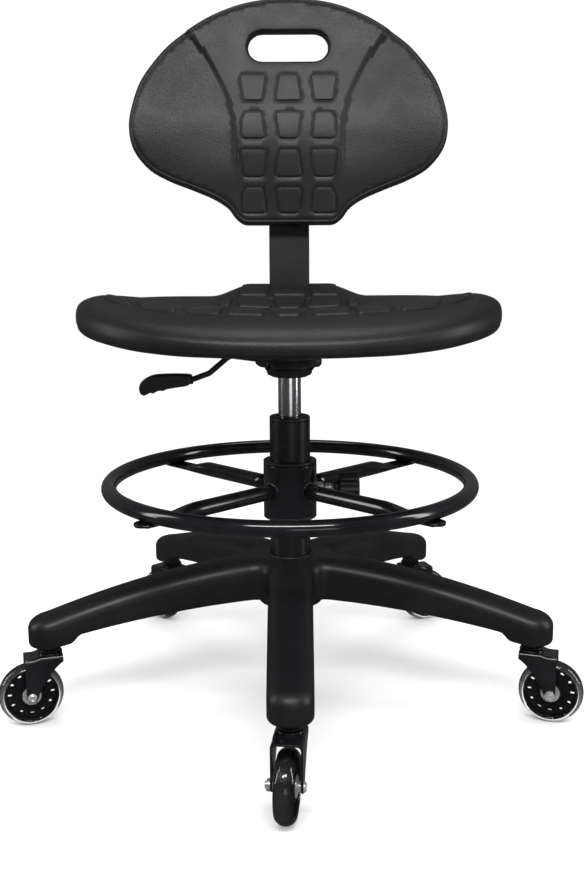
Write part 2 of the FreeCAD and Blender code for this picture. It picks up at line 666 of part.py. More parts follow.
def back_knob():
    """The height lock: a lobed knob with its stud against the bar."""
    at = V(0, BAR_UP_Y + BAR_T + 10, BACK_KNOB_Z)
    knob = lobed_knob(26, 18, 6, at, Y)
    stud = cyl(M8_R, 11, V(0, BAR_UP_Y + BAR_T + GAP, BACK_KNOB_Z), Y)
    return lean(knob.fuse(stud))


# ---- foot ring ----------------------------------------------------------------------------------
def foot_ring():
    ring = Part.makeTorus(RING_R, RING_TUBE_R, V(0, 0, RING_Z), Z)
    ring = ring.cut(Part.makeTorus(RING_R, RING_TUBE_R - RING_WALL, V(0, 0, RING_Z), Z))
    hole = cyl(M6_R, 8, V(RING_R, 0, RING_Z - RING_TUBE_R - 3))
    for h in ring_of(hole, SPOKES, SPOKE_ANGLE):
        ring = ring.cut(h)
    return ring


def flat_oval(x, half_w, half_t, z):
    """A section square to X: two flats joined by round sides, from nearly round to a thin tab."""
    flat = max(half_w - half_t, 0.4)
    a, b = V(x, -flat, z - half_t), V(x, flat, z - half_t)
    c, d = V(x, flat, z + half_t), V(x, -flat, z + half_t)
    return Part.Wire([seg(a, b), Part.Arc(b, V(x, half_w, z), c).toShape(),
                      seg(c, d), Part.Arc(d, V(x, -half_w, z), a).toShape()])


def hub_room():
    """The space the ring's hub takes, cut from what is welded on it."""
    return cyl(RING_HUB_R, RING_HUB_HIGH - RING_HUB_LOW + 20, V(0, 0, RING_HUB_LOW - 10))


def spoke(angle):
    """A tube whose outer end is squeezed to a flat tab under the ring."""
    start, tab_mid = RING_HUB_R - 3.0, TAB_Z + TAB_T / 2
    near = flat_oval(SQUEEZE_FROM, SPOKE_R, SPOKE_R - 0.05, SPOKE_Z)
    middle = flat_oval((SQUEEZE_FROM + SQUEEZE_TO) / 2, 12, 6.0, (SPOKE_Z + tab_mid) / 2)
    far = flat_oval(SQUEEZE_TO, 14, TAB_T / 2, tab_mid)
    run = Part.Face(near).extrude(V(start - SQUEEZE_FROM, 0, 0))
    squeeze = Part.makeLoft([near, middle, far], True, False)
    tab = Part.Face(far).extrude(V(SPOKE_END - SQUEEZE_TO, 0, 0))
    body = run.fuse([squeeze, tab])
    body = body.cut(cyl(SPOKE_R - SPOKE_WALL, SQUEEZE_FROM - 10 - start + 1, V(start - 1, 0, SPOKE_Z), X))
    body = body.cut(cyl(M6_R, 20, V(RING_R, 0, TAB_Z - 5)))
    body = body.cut(hub_room())
    body.rotate(V(0, 0, 0), Z, angle)
    return body


def ring_screw():
    head_r, head_h = 6.0, 3.0
    shank = cyl(M6_R, 7, V(RING_R, 0, TAB_Z))
    head = cyl(head_r, head_h, V(RING_R, 0, TAB_Z - head_h))
    rim = [e for e in head.Edges if e.BoundBox.ZMax < TAB_Z - head_h + 0.1]
    return shank.fuse(head.makeFillet(1.4, rim))


def ring_hub():
    hub = tube(RING_HUB_R, RING_HUB_IN, RING_HUB_HIGH - RING_HUB_LOW, V(0, 0, RING_HUB_LOW))
    return hub.cut(cyl(M8_R + FIT, 20, V(20, 0, KNOB_Z), X))


def ring_bush(top):
    """A flanged plastic bush, one in each end of the ring's hub."""
    sleeve_z = RING_HUB_HIGH + GAP - BUSH_H if top else RING_HUB_LOW - GAP
    flange_z = RING_HUB_HIGH + GAP if top else RING_HUB_LOW - GAP - BUSH_FLANGE
    sleeve = tube(RING_HUB_IN - FIT, TUBE_R + FIT, BUSH_H, V(0, 0, sleeve_z))
    flange = tube(RING_HUB_R, TUBE_R + FIT, BUSH_FLANGE, V(0, 0, flange_z))
    return sleeve.fuse(flange).removeSplitter()


def ring_boss():
    """The threaded boss welded on the ring's hub for the lock knob."""
    boss = hexagon(14, 10, V(RING_HUB_R - 1, 0, KNOB_Z), X).cut(hub_room())
    return boss.cut(cyl(M8_R + FIT, 40, V(20, 0, KNOB_Z), X))


def ring_knob_stud():
    start, end = TUBE_R + 2 * GAP, 58.0
    stud = cyl(M8_R, end - start, V(start, 0, KNOB_Z), X)
    collar = cyl(6.0, 10, V(RING_HUB_R + 11, 0, KNOB_Z), X)
    return stud.fuse(collar)


def ring_knob():
    neck = cyl(10, 7, V(54, 0, KNOB_Z), X)
    knob = lobed_knob(19.5, 26, 12, V(60, 0, KNOB_Z), X)
    return neck.fuse(knob).cut(cyl(M8_R, 30, V(28, 0, KNOB_Z), X))


# ---- casters ------------------------------------------------------------------------------------
def place_caster(shape, k):
    """Moves a caster piece, built with its stem axis on Z and trailing along +X, to leg k."""
    shape = shape.copy()
    shape.rotate(V(0, 0, 0), Z, SWIVELLED[k])
    shape.translate(V(STEM_CIRCLE, 0, 0))
    shape.rotate(V(0, 0, 0), Z, FIRST_LEG + k * 360.0 / LEGS)
    return shape


def fork():
    """A stamped fork: crown plate, race cap and two cheeks that taper to the axle."""
    half = FORK_IN / 2 + FORK_T
    top = CROWN_Z + CROWN_T
    side = prism(
        [
            Part.LineSegment(V(-17, 0, top), V(29, 0, top)).toShape(),
            Part.LineSegment(V(29, 0, top), V(30, 0, 62)).toShape(),
            spline([V(30, 0, 62), V(33, 0, 45), V(31, 0, 33), V(TRAIL, 0, 29)]),
            spline([V(TRAIL, 0, 29), V(16.5, 0, 33), V(12, 0, 45), V(2, 0, 64)]),
            Part.LineSegment(V(2, 0, 64), V(-17, 0, top - 6)).toShape(),
            Part.LineSegment(V(-17, 0, top - 6), V(-17, 0, top)).toShape(),
        ],
        V(0, 2 * half, 0),
    )
    side.translate(V(0, -half, 0))
    inside = box(80, FORK_IN, CROWN_Z - 10, V(15, 0, 10))
    cheeks = side.cut(inside)
    rims = [e for e in cheeks.Edges if e.BoundBox.ZMin > top - 0.1 and e.BoundBox.XLength > 30]
    cheeks = cheeks.makeFillet(2.0, rims)
    cap = cyl(14.0, 2.6, V(0, 0, top))
    cap = cap.makeFillet(1.2, [e for e in cap.Edges if e.BoundBox.ZMin > top + 2.5])
    body = cheeks.fuse(cap)
    body = body.cut(cyl(STEM_R + FIT, 30, V(0, 0, 75)))
    return body.cut(cyl(M8_R, 60, on_axle(-30), Y))


def on_axle(y):
    """The point of the wheel's axis at y."""
    return V(TRAIL, y, WHEEL_R)


def axle():
    """Axle bolt with a round head, its nut and a spacer each side of the wheel."""
    half = FORK_IN / 2 + FORK_T
    head_h, spacer_r = 2.6, 5.6
    bolt = cyl(M8_R - FIT, 2 * half + 6, on_axle(-half), Y)
    head = cyl(spacer_r, head_h, on_axle(-half - head_h), Y)
    head = head.makeFillet(1.2, [e for e in head.Edges if e.BoundBox.YMax < -half - head_h + 0.1])
    nut = hexagon(11, 4.5, on_axle(half), Y)
    gap_low = BEARING_PLACE + BEARING_W / 2 + GAP
    long = FORK_IN / 2 - gap_low
    spacers = [tube(spacer_r, M8_R - FIT, long, on_axle(y), Y) for y in (gap_low, -FORK_IN / 2)]
    return bolt.fuse([head, nut] + spacers)


def wheel_core():
    """Nylon core with a ring of windows and a bearing pocket in each side."""
    hub_r = BEARING_R + 3
    rim = tube(CORE_R, CORE_R - CORE_RIM, CORE_W, on_axle(-CORE_W / 2), Y)
    hub = tube(hub_r, BEARING_BORE + 2, CORE_W, on_axle(-CORE_W / 2), Y)
    disc = tube(CORE_R - CORE_RIM, hub_r, CORE_DISC, on_axle(-CORE_DISC / 2), Y)
    body = rim.fuse([hub, disc])
    window = cyl(WINDOW_R, 2 * CORE_W, V(TRAIL + CORE_R - WINDOW_IN, -CORE_W, WHEEL_R), Y)
    for w in ring_of(window, CORE_WINDOWS, 0, on_axle(0), Y):
        body = body.cut(w)
    pocket = CORE_W / 2 + 1 - BEARING_PLACE + BEARING_W / 2
    for y in (BEARING_PLACE - BEARING_W / 2, -CORE_W / 2 - 1):
        body = body.cut(cyl(BEARING_R, pocket, on_axle(y), Y))
    return body


def tyre():
    """Cast polyurethane tyre with a rounded tread."""
    w, r = TYRE_W / 2, WHEEL_R
    shoulder = CORE_R + 1.0
    bore = CORE_R
    edges = [
        Part.LineSegment(V(bore, -w + 2, 0), V(bore, w - 2, 0)).toShape(),
        Part.LineSegment(V(bore, w - 2, 0), V(shoulder, w, 0)).toShape(),
        Part.Arc(V(shoulder, w, 0), V(r, 0, 0), V(shoulder, -w, 0)).toShape(),
        Part.LineSegment(V(shoulder, -w, 0), V(bore, -w + 2, 0)).toShape(),
    ]
    body = Part.Face(Part.Wire(edges)).revolve(V(0, 0, 0), Y, 360)
    body.translate(V(TRAIL, 0, WHEEL_R))
    return body


def bearings():
    """Two 608 ball bearings, each as an outer race with shield and an inner race."""
    out = []
    for side in (-1, 1):
        y = side * BEARING_PLACE - BEARING_W / 2
        ring = tube(BEARING_R, BEARING_BORE, BEARING_W, on_axle(y), Y)
        for face in (y - 1, y + BEARING_W - RACE_GROOVE):
            ring = ring.cut(tube(RACE_OUT, RACE_IN, 1 + RACE_GROOVE, on_axle(face), Y))
        out.append(ring)
    return out


def build():
    os.makedirs("parts", exist_ok=True)
    save("star_base", star_base())
    save("caster_stems", ring_of(caster_stem(), LEGS, FIRST_LEG))
    save("lift_outer_tube", lift_outer_tube())
    save("lift_guide_bush", lift_guide_bush())
    save("thrust_bearing", thrust_bearing())
    save("piston_rod", piston_rod())
    save("rod_clip", rod_clip())
    save("rebound_buffer", rebound_buffer())
    save("lift_cylinder", lift_cylinder())
    save("valve_pin", valve_pin())
    save("seat_socket", seat_socket())
    save("seat_plate", seat_plate())
    save("bar_channel", bar_channel())
    save("lever_bracket", lever_bracket())
    bolts = four_ways(seat_bolt())
    board = seat_core_board()
    pad = seat_pad().cut(board)
    for b in bolts:
        board = board.cut(b)
        pad = pad.cut(b)
    save("seat_pad", pad)
    save("seat_core_board", board)
    save("seat_bolts", bolts)
    save("lever_rod", lever_rod())
    save("lever_grip", lever_grip())
    save("back_bar", back_bar())
    save("bar_end_cap", bar_end_cap())
    save("bar_knob", bar_knob())
    save("backrest_pad", backrest_pad())
    save("back_core_board", back_core_board())
    save("back_bracket", back_bracket())
    save("back_screws", back_screws())
    save("back_knob", back_knob())
    save("foot_ring", foot_ring())
    save("ring_spokes", [spoke(SPOKE_ANGLE + k * 360.0 / SPOKES) for k in range(SPOKES)])
    save("ring_screws", ring_of(ring_screw(), SPOKES, SPOKE_ANGLE))
    save("ring_hub", ring_hub())
    save("ring_bushes", [ring_bush(True), ring_bush(False)])
    save("ring_boss", ring_boss())
    save("ring_knob_stud", ring_knob_stud())
    save("ring_knob", ring_knob())
    pieces = {"fork": fork(), "axle": axle(), "tyre": tyre(), "core": wheel_core()}
    pair = bearings()
    for k in range(LEGS):
        for name, shape in pieces.items():
            save("%s_%d" % (name, k + 1), place_caster(shape, k))
        save("bearings_%d" % (k + 1), [place_caster(b, k) for b in pair])


build()
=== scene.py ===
"""The looks of a drafting chair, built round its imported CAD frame. Lengths are millimetres until
piece() makes the meshes."""
import json
import math

import bmesh
import bpy
import numpy as np
from mathutils import Matrix, Vector
from mathutils.geometry import delaunay_2d_cdt


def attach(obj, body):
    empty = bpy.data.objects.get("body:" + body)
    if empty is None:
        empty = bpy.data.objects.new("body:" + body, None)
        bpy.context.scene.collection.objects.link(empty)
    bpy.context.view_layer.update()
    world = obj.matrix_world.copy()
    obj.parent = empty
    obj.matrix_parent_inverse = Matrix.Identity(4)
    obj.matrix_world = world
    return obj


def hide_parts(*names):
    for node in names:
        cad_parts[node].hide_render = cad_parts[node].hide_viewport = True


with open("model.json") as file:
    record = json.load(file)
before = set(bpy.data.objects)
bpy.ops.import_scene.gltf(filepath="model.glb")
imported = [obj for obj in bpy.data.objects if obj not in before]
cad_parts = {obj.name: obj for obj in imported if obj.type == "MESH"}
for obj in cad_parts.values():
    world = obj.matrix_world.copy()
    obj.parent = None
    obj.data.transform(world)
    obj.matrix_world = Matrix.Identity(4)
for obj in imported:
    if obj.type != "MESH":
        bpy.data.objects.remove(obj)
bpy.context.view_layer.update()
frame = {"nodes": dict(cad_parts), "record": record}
nodes = frame["nodes"]

MM = 0.001
X, Y, Z = Vector((1, 0, 0)), Vector((0, 1, 0)), Vector((0, 0, 1))

# ---- driving dimensions, shared with the CAD unless a note says otherwise ----
LEGS, FIRST_LEG = 5, -90.0
STEM_CIRCLE, TRAIL = 302.0, 24.0
SWIVELLED = (-8.0, 0.0, -35.0, 12.0, 0.0)       # how far each caster rests turned, in degrees
WHEEL_R, CORE_R, CORE_W = 38.0, 32.0, 18.0
TREAD_R, TREAD_ARC, CORE_DISC = 12.0, 57.0, 10.0    # the CAD's tyre is wider, and its core's disc thinner
WINDOWS, CORE_RIBS, FLUTES = 12, 10, 12
BEARING_R, BEARING_W, BEARING_BORE = 11.0, 7.0, 4.0
BEARING_PLACE = 6.5
FORK_IN, FORK_T = 28.6, 2.2
CROWN_Z, CROWN_T = 84.0, 3.0
LEG_FOOT_Z = 92.0
HUB_R = 46.0
LEG_ROOT_W, LEG_TIP_W = 54.0, 48.0
LEG_ROOT_Z, LEG_TIP_Z, LEG_FALL = 181.0, 135.0, 1.7
LEG_ROOT_LOW, LEG_TIP_LOW, LEG_BOSS = 131.0, 105.0, 8.0
LEG_WALL = 3.5
TUBE_R, TUBE_IN, TUBE_LOW, TUBE_HIGH = 25.0, 23.0, 104.0, 350.0
BUSH_LOW, BUSH_TOP = 270.0, 355.0
CYL_R, CYL_TIP_R, CYL_LOW, CYL_TAPER_LOW, CYL_HIGH = 14.0, 13.3, 200.0, 404.0, 426.0
SOCKET_LOW, PLATE_Z = 403.5, 439.0
PLATE_X, PLATE_Y = 190.0, 210.0
SEAT_FRONT, SEAT_REAR, SEAT_HALF_W, SEAT_LOW = -225.0, 182.0, 249.0, 444.0
SEAT_BOLT_X, SEAT_BOLT_Y = 75.0, 82.0
BAR_W, BAR_T, BAR_FRONT, BAR_KNOB_Y = 56.0, 6.0, 62.0, 92.0
BAR_Z, BAR_UP_Y, BAR_BEND, BAR_TOP = 431.6, 219.5, 34.0, 690.0
LEAN, LEAN_FOOT = math.radians(4.0), Vector((0, BAR_UP_Y, 480.0))
BACK_LOW, BACK_HIGH, BACK_KNOB_Z = 584.0, 884.0, 625.0
BACK_FACE_Y = BAR_UP_Y - 4.5
HANDLE_Z, HANDLE_W, HANDLE_H = 819.5, 108.0, 38.0
RING_R, RING_TUBE_R, RING_Z = 222.5, 9.3, 272.5
RING_HUB_R, RING_HUB_IN, RING_HUB_LOW, RING_HUB_HIGH = 33.0, 28.2, 232.0, 296.0
SPOKES, SPOKE_ANGLE, SPOKE_R, SPOKE_Z = 4, 45.0, 9.5, 264.0
SQUEEZE_FROM, SQUEEZE_TO, SPOKE_END, TAB_T, TAB_HALF_W = 150.0, 200.0, 238.0, 4.0, 14.0
KNOB_Z = 263.0
GAP = 0.3

CAMERA_AT, LENS = (0.0045, -1.3173, 0.5784), 44.49      # metres, and millimetres on a 36 mm sensor
LOOKS_DOWN, ROLL = 10.9, -0.0054                        # degrees and radians


# ---- materials ----
class Shader:
    """A principled material with a few short ways to add procedural detail, in object space."""

    def __init__(self, name, base, rough, metal=0.0):
        self.material = bpy.data.materials.new(name)
        self.material.use_nodes = True
        self.tree = self.material.node_tree
        self.bsdf = self.tree.nodes["Principled BSDF"]
        self.bsdf.inputs["Base Color"].default_value = (*base, 1)
        self.bsdf.inputs["Roughness"].default_value = rough
        self.bsdf.inputs["Metallic"].default_value = metal
        self.place = self.tree.nodes.new("ShaderNodeTexCoord").outputs["Object"]
        self.relief = None

    def feed(self, socket, value):
        """Links an output to a socket, or sets a constant."""
        if isinstance(value, bpy.types.NodeSocket):
            self.tree.links.new(value, socket)
        else:
            socket.default_value = value

    def node(self, kind, inputs, **settings):
        n = self.tree.nodes.new(kind)
        for key, value in settings.items():
            setattr(n, key, value)
        for key, value in inputs.items():
            self.feed(n.inputs[key], value)
        return n.outputs

    def stretched(self, scale):
        """The object's own coordinates, squeezed by a scale on each axis."""
        return self.node("ShaderNodeMapping", {"Scale": scale, "Vector": self.place})[0]

    def noise(self, scale, detail=3.0, rough=0.5, where=None):
        inputs = {"Scale": scale, "Detail": detail, "Roughness": rough, "Vector": where or self.place}
        return self.node("ShaderNodeTexNoise", inputs)["Fac"]

    def cells(self, scale, smooth=0.4):
        """Rounded pebbles, as in moulded leather grain."""
        inputs = {"Scale": scale, "Smoothness": smooth, "Vector": self.place}
        return self.node("ShaderNodeTexVoronoi", inputs, feature="SMOOTH_F1")["Distance"]

    def ramp(self, value, low, high, out_low=0.0, out_high=1.0):
        inputs = {"Value": value, "From Min": low, "From Max": high, "To Min": out_low, "To Max": out_high}
        return self.node("ShaderNodeMapRange", inputs, clamp=True)[0]

    def math(self, operation, a, b):
        return self.node("ShaderNodeMath", {0: a, 1: b}, operation=operation)[0]

    def colour(self, first, second, fac):
        """Base colour that drifts between two colours."""
        inputs = {"A": (*first, 1), "B": (*second, 1), "Factor": fac}
        mixed = self.node("ShaderNodeMix", inputs, data_type="RGBA")["Result"]
        self.feed(self.bsdf.inputs["Base Color"], mixed)

    def roughness(self, value):
        self.feed(self.bsdf.inputs["Roughness"], value)

    def bump(self, value, depth, strength=1.0):
        """Relief of a depth in metres, added to what is there."""
        inputs = {"Strength": strength, "Distance": depth, "Height": value}
        if self.relief:
            inputs["Normal"] = self.relief
        self.relief = self.node("ShaderNodeBump", inputs)[0]
        self.feed(self.bsdf.inputs["Normal"], self.relief)

    def set(self, **values):
        for key, value in values.items():
            self.bsdf.inputs[key.replace("_", " ")].default_value = value
        return self


def pu_skin():
    """Self-skinned polyurethane foam: near-black, pebbled like leather, a soft sheen."""
    s = Shader("pu_skin", (0.007, 0.007, 0.008), 0.42)
    s.colour((0.0055, 0.0055, 0.0065), (0.0095, 0.0095, 0.011), s.ramp(s.noise(7, 4), 0.35, 0.65))
    grain = s.math("ADD", s.cells(700), s.math("MULTIPLY", s.noise(1700, 2), 0.4))
    rubbed = s.ramp(s.noise(38, 5), 0.3, 0.7, 0.32, 0.4)
    s.roughness(s.math("ADD", rubbed, s.ramp(grain, 0.2, 0.9, 0.0, 0.08)))
    s.bump(grain, 0.00028, 0.7)
    s.bump(s.noise(16, 3), 0.0006, 0.2)
    return s.set(Specular_IOR_Level=0.42).material


def moulded_nylon(name, rough=0.36, shine=0.35):
    """Glass-filled nylon: fine spark-eroded texture, faint flow clouding, a few rubbed spots."""
    s = Shader(name, (0.006, 0.006, 0.007), rough)
    s.colour((0.0045, 0.0045, 0.0055), (0.0085, 0.0085, 0.01), s.ramp(s.noise(11, 5, 0.6), 0.35, 0.7))
    fine = s.noise(1300, 3, 0.6)
    s.roughness(s.math("ADD", s.ramp(s.noise(24, 6, 0.65), 0.3, 0.72, rough - 0.06, rough + 0.06),
                       s.ramp(fine, 0.35, 0.65, -0.02, 0.03)))
    s.bump(fine, 0.00018, 0.4)
    return s.set(Specular_IOR_Level=shine).material


def powder_coat(name, rough=0.45, gloss=0.0, peel=0.3):
    """Powder-coated steel: orange peel, faint mottling, and a clear coat as strong as gloss says."""
    s = Shader(name, (0.005, 0.005, 0.006), rough)
    s.colour((0.0035, 0.0035, 0.0045), (0.0075, 0.0075, 0.009), s.ramp(s.noise(30, 4), 0.35, 0.7))
    s.roughness(s.ramp(s.noise(55, 5, 0.6), 0.3, 0.7, rough - 0.05, rough + 0.06))
    s.bump(s.noise(420, 2), 0.00012, peel)
    return s.set(Specular_IOR_Level=0.4, Coat_Weight=gloss, Coat_Roughness=0.08).material


def polished_chrome():
    """Hard-chromed tube: faint lengthwise draw marks and fingerprints."""
    s = Shader("polished_chrome", (0.7, 0.7, 0.73), 0.16, 1.0)
    marks = s.noise(60, 4, 0.6, s.stretched((40, 40, 0.6)))
    prints = s.ramp(s.noise(90, 4), 0.5, 0.75, 0.0, 0.08)
    s.roughness(s.math("ADD", s.ramp(marks, 0.3, 0.7, 0.1, 0.2), prints))
    s.colour((0.62, 0.62, 0.65), (0.78, 0.78, 0.81), s.ramp(marks, 0.3, 0.7))
    s.bump(marks, 0.00004, 0.3)
    return s.material


def zinc_steel():
    """Zinc-plated steel, a little cloudy."""
    s = Shader("zinc_steel", (0.55, 0.55, 0.55), 0.3, 0.7)
    s.colour((0.42, 0.42, 0.43), (0.66, 0.66, 0.65), s.ramp(s.noise(160, 5), 0.3, 0.7))
    s.roughness(s.ramp(s.noise(240, 5), 0.3, 0.7, 0.2, 0.38))
    s.bump(s.noise(900, 2), 0.00003, 0.4)
    return s.material


def clear_urethane():
    """Clear cast polyurethane of a skate wheel, softly hazed on the tread."""
    s = Shader("clear_urethane", (0.85, 0.86, 0.87), 0.04)
    s.colour((0.8, 0.81, 0.82), (0.88, 0.88, 0.89), s.ramp(s.noise(45, 3), 0.35, 0.7))
    s.roughness(s.ramp(s.noise(120, 5), 0.3, 0.7, 0.01, 0.05))
    s.bump(s.noise(300, 2), 0.00002, 0.15)
    return s.set(Transmission_Weight=1.0, IOR=1.46).material


def gloss_nylon():
    """The wheel's core, moulded smoother than the base."""
    return moulded_nylon("gloss_nylon", 0.24, 0.14)


def buffer_rubber():
    """The hidden bump stop on the piston rod."""
    s = Shader("buffer_rubber", (0.018, 0.018, 0.018), 0.7)
    s.colour((0.014, 0.014, 0.014), (0.03, 0.03, 0.029), s.noise(80, 4))
    s.bump(s.noise(600, 3), 0.0001, 0.5)
    return s.material


def plywood():
    """The boards moulded into the foam."""
    s = Shader("plywood", (0.5, 0.38, 0.25), 0.6)
    s.colour((0.42, 0.3, 0.18), (0.6, 0.47, 0.32), s.noise(40, 5, 0.6, s.stretched((1, 12, 1))))
    s.bump(s.noise(300, 3), 0.0001, 0.4)
    return s.material


LOOKS = {
    "base_plastic": moulded_nylon("base_nylon", 0.4, 0.42),
    "steel_zinc": zinc_steel(),
    "lift_paint": powder_coat("lift_paint", 0.3, 0.2),
    "lift_chrome": polished_chrome(),
    "black_plastic": moulded_nylon("trim_nylon", 0.4),
    "rubber_buffer": buffer_rubber(),
    "pu_skin": pu_skin(),
    "board": plywood(),
    "mech_paint": powder_coat("mech_paint", 0.45),
    "ring_paint": powder_coat("ring_paint", 0.14, 0.5, 0.2),
    "boss_metal": zinc_steel(),
    "fork_paint": powder_coat("fork_paint", 0.22, 0.7),
    "tyre_pu": clear_urethane(),
    "core_plastic": gloss_nylon(),
}
SLOT_OF = {p["node"]: p["material_slot"] for p in frame["record"]["subparts"]}


def dress_cad():
    """Every CAD node gets its slot's material."""
    for name, obj in nodes.items():
        obj.data.materials.clear()
        obj.data.materials.append(LOOKS[SLOT_OF[name]])


# ---- shells: (points, faces) ----
def piece(name, body, node, shells, bevel=0.0, flat_kept=True):
    """One mesh object of some shells, riding on a body in place of a CAD node and dressed for its slot."""
    verts, faces = [], []
    for points, own in shells:
        first = len(verts)
        verts.extend(map(tuple, np.asarray(points, float) * MM))
        faces.extend(tuple(first + i for i in face) for face in own)
    mesh = bpy.data.meshes.new(name)
    mesh.from_pydata(verts, [], faces)
    bm = bmesh.new()
    bm.from_mesh(mesh)
    bmesh.ops.remove_doubles(bm, verts=bm.verts, dist=1e-6)
    bmesh.ops.recalc_face_normals(bm, faces=bm.faces)
    bm.to_mesh(mesh)
    bm.free()
    mesh.polygons.foreach_set("use_smooth", [True] * len(mesh.polygons))
    obj = bpy.data.objects.new(name, mesh)
    bpy.context.scene.collection.objects.link(obj)
    if bevel:
        edge = obj.modifiers.new("edge", "BEVEL")
        edge.width = bevel * MM
        edge.segments = 2
        edge.limit_method = "ANGLE"
        edge.angle_limit = math.radians(40)
        edge.use_clamp_overlap = True
    if flat_kept:
        flats = obj.modifiers.new("flats", "WEIGHTED_NORMAL")
        flats.keep_sharp = True
    if node:
        obj.data.materials.append(LOOKS[SLOT_OF[node]])
        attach(obj, body)
        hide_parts(node)
    return obj


def ease(t):
    """A smooth step from 0 to 1."""
    t = np.clip(t, 0, 1)
    return t * t * (3 - 2 * t)


def unit(v):
    return v / np.linalg.norm(v, axis=-1, keepdims=True)


def soften(points, radius, parts=5, closed=True):
    """A line with its corners turned into arcs; radius is one number or one for each corner."""
    p = np.asarray(points, float)
    radii = np.broadcast_to(radius, len(p))
    out = []
    for k, corner in enumerate(p):
        if not closed and k in (0, len(p) - 1):
            out.append(corner)
            continue
        to_last, to_next = p[k - 1] - corner, p[(k + 1) % len(p)] - corner
        u, w = unit(to_last), unit(to_next)
        half = math.acos(np.clip(u @ w, -1, 1)) / 2
        room = 0.499 * min(np.linalg.norm(to_last), np.linalg.norm(to_next))
        reach = min(radii[k] / math.tan(half), room) if half < 1.5 else 0.0
        if reach < 1e-4:
            out.append(corner)
            continue
        r = reach * math.tan(half)
        centre = corner + unit(u + w) * r / math.sin(half)
        start, end = corner + u * reach - centre, corner + w * reach - centre
        turn = math.acos(np.clip(start @ end / r ** 2, -1, 1))
        for t in np.linspace(0, 1, parts + 1):
            arc = math.sin((1 - t) * turn) * start + math.sin(t * turn) * end
            out.append(centre + arc / math.sin(turn))
    return np.array(out)


def rect(left, right, low, high):
    """The corners of a rectangle; lathe() makes a plain ring of it."""
    return [(left, low), (right, low), (right, high), (left, high)]


def both_sides(half):
    """A profile of (r, h) that ends as it began, on the other side of h = 0."""
    return half + [(r, -h) for r, h in reversed(half)]


def loft(rows, ends=True, closed=False):
    """Skins loops of equal length, and caps the ends."""
    n = len(rows[0])
    verts = np.vstack(rows)
    faces = []
    for k in range(len(rows) if closed else len(rows) - 1):
        a, b = k * n, (k + 1) % len(rows) * n
        faces.extend((a + i, a + (i + 1) % n, b + (i + 1) % n, b + i) for i in range(n))
    if ends and not closed:
        faces.append(tuple(range(n)))
        faces.append(tuple(range(len(verts) - n, len(verts))))
    return verts, faces


def lathe(profile, parts=96, round_by=0.0, steps=3, span=None):
    """A closed profile of (r, h) turned about Z, its corners away from the axis rounded; span, two angles
    in degrees, leaves the rest of the turn open."""
    p = np.asarray(profile, float)
    if round_by:
        p = soften(p, np.where(p[:, 0] > 0.01, round_by, 0.0), steps)
    if span:
        turns = np.radians(np.linspace(*span, parts))
        return loft([np.column_stack([p[:, 0] * math.cos(a), p[:, 0] * math.sin(a), p[:, 1]]) for a in turns])
    angles = np.linspace(0, 2 * math.pi, parts, endpoint=False)
    rows = [np.column_stack([r * np.cos(angles), r * np.sin(angles), np.full(parts, h)]) for r, h in p]
    return loft(rows, closed=True)


def flat_loop(loop, height):
    """A plan loop lifted to a height."""
    return np.column_stack([loop, np.full(len(loop), height)])


def slab(loop, low, high, edge, parts=3):
    """A plate of a plan loop between two heights, its rims rounded by edge."""
    loop = np.asarray(loop, float)
    if area(loop) < 0:
        loop = loop[::-1]
    rows = []
    for angle in np.linspace(90, 0, parts + 1):
        a = math.radians(angle)
        rows.append((edge * (1 - math.cos(a)), high - edge * (1 - math.sin(a))))
    rows += [(inset, low + high - level) for inset, level in reversed(rows)]
    return loft([flat_loop(inward(loop, inset), level) for inset, level in rows])


def stacked(plan, steps):
    """A plan lofted through steps of (height, scale)."""
    return loft([flat_loop(plan * scale, level) for level, scale in steps])


def hollow(outer, inner, low, high):
    """A straight duct between two plan loops of equal length."""
    rows = [flat_loop(outer, low), flat_loop(outer, high), flat_loop(inner, high), flat_loop(inner, low)]
    return loft(rows, closed=True)


def sweep(path, section, up=Z, scales=None, closed=False):
    """A section loop of (sideways, upwards) carried along a path; scales widen it at each point."""
    path, section = np.asarray(path, float), np.asarray(section, float)
    ahead, behind = np.roll(path, -1, 0), np.roll(path, 1, 0)
    if not closed:
        ahead[-1], behind[0] = path[-1], path[0]
    tangents = unit(ahead - behind)
    rows = []
    for k, (at, t) in enumerate(zip(path, tangents)):
        side = unit(np.cross(t, up))
        top = np.cross(side, t)
        s = section * (scales[k] if scales is not None else 1.0)
        rows.append(at + np.outer(s[:, 0], side) + np.outer(s[:, 1], top))
    return loft(rows, closed=closed)


def polar(r, angles):
    return np.column_stack([r * np.cos(angles), r * np.sin(angles)])


def circle(r, parts=24):
    return polar(r, np.linspace(0, 2 * math.pi, parts, endpoint=False))


def box_loop(w, d, radius=0.0, centre=(0, 0)):
    """A rectangle's plan, its corners rounded."""
    return soften(rect(-w / 2, w / 2, -d / 2, d / 2), radius) + np.array(centre)


def hexagon(across):
    return circle(across / math.sqrt(3), 6)


def lobed(r, depth, lobes, parts=16):
    """A hand knob's plan: broad lobes with rounded scallops between them."""
    a = np.linspace(0, 2 * math.pi, lobes * parts, endpoint=False)
    out = r - depth * (0.5 - 0.5 * np.cos(lobes * a)) ** 2.4
    return polar(out, a)


def placed(shell, matrix):
    verts, faces = shell
    m = np.array(matrix)
    return verts @ m[:3, :3].T + m[:3, 3], faces


def set_at(matrix, shells):
    return [placed(shell, matrix) for shell in shells]


def facing(axis, at=(0, 0, 0)):
    """The matrix that stands a shell built on Z along an axis instead."""
    return Matrix.Translation(at) @ Vector(axis).to_track_quat("Z", "Y").to_matrix().to_4x4()


def shift(x, y, z):
    return Matrix.Translation((x, y, z))


def about_z(degrees):
    return Matrix.Rotation(math.radians(degrees), 4, "Z")


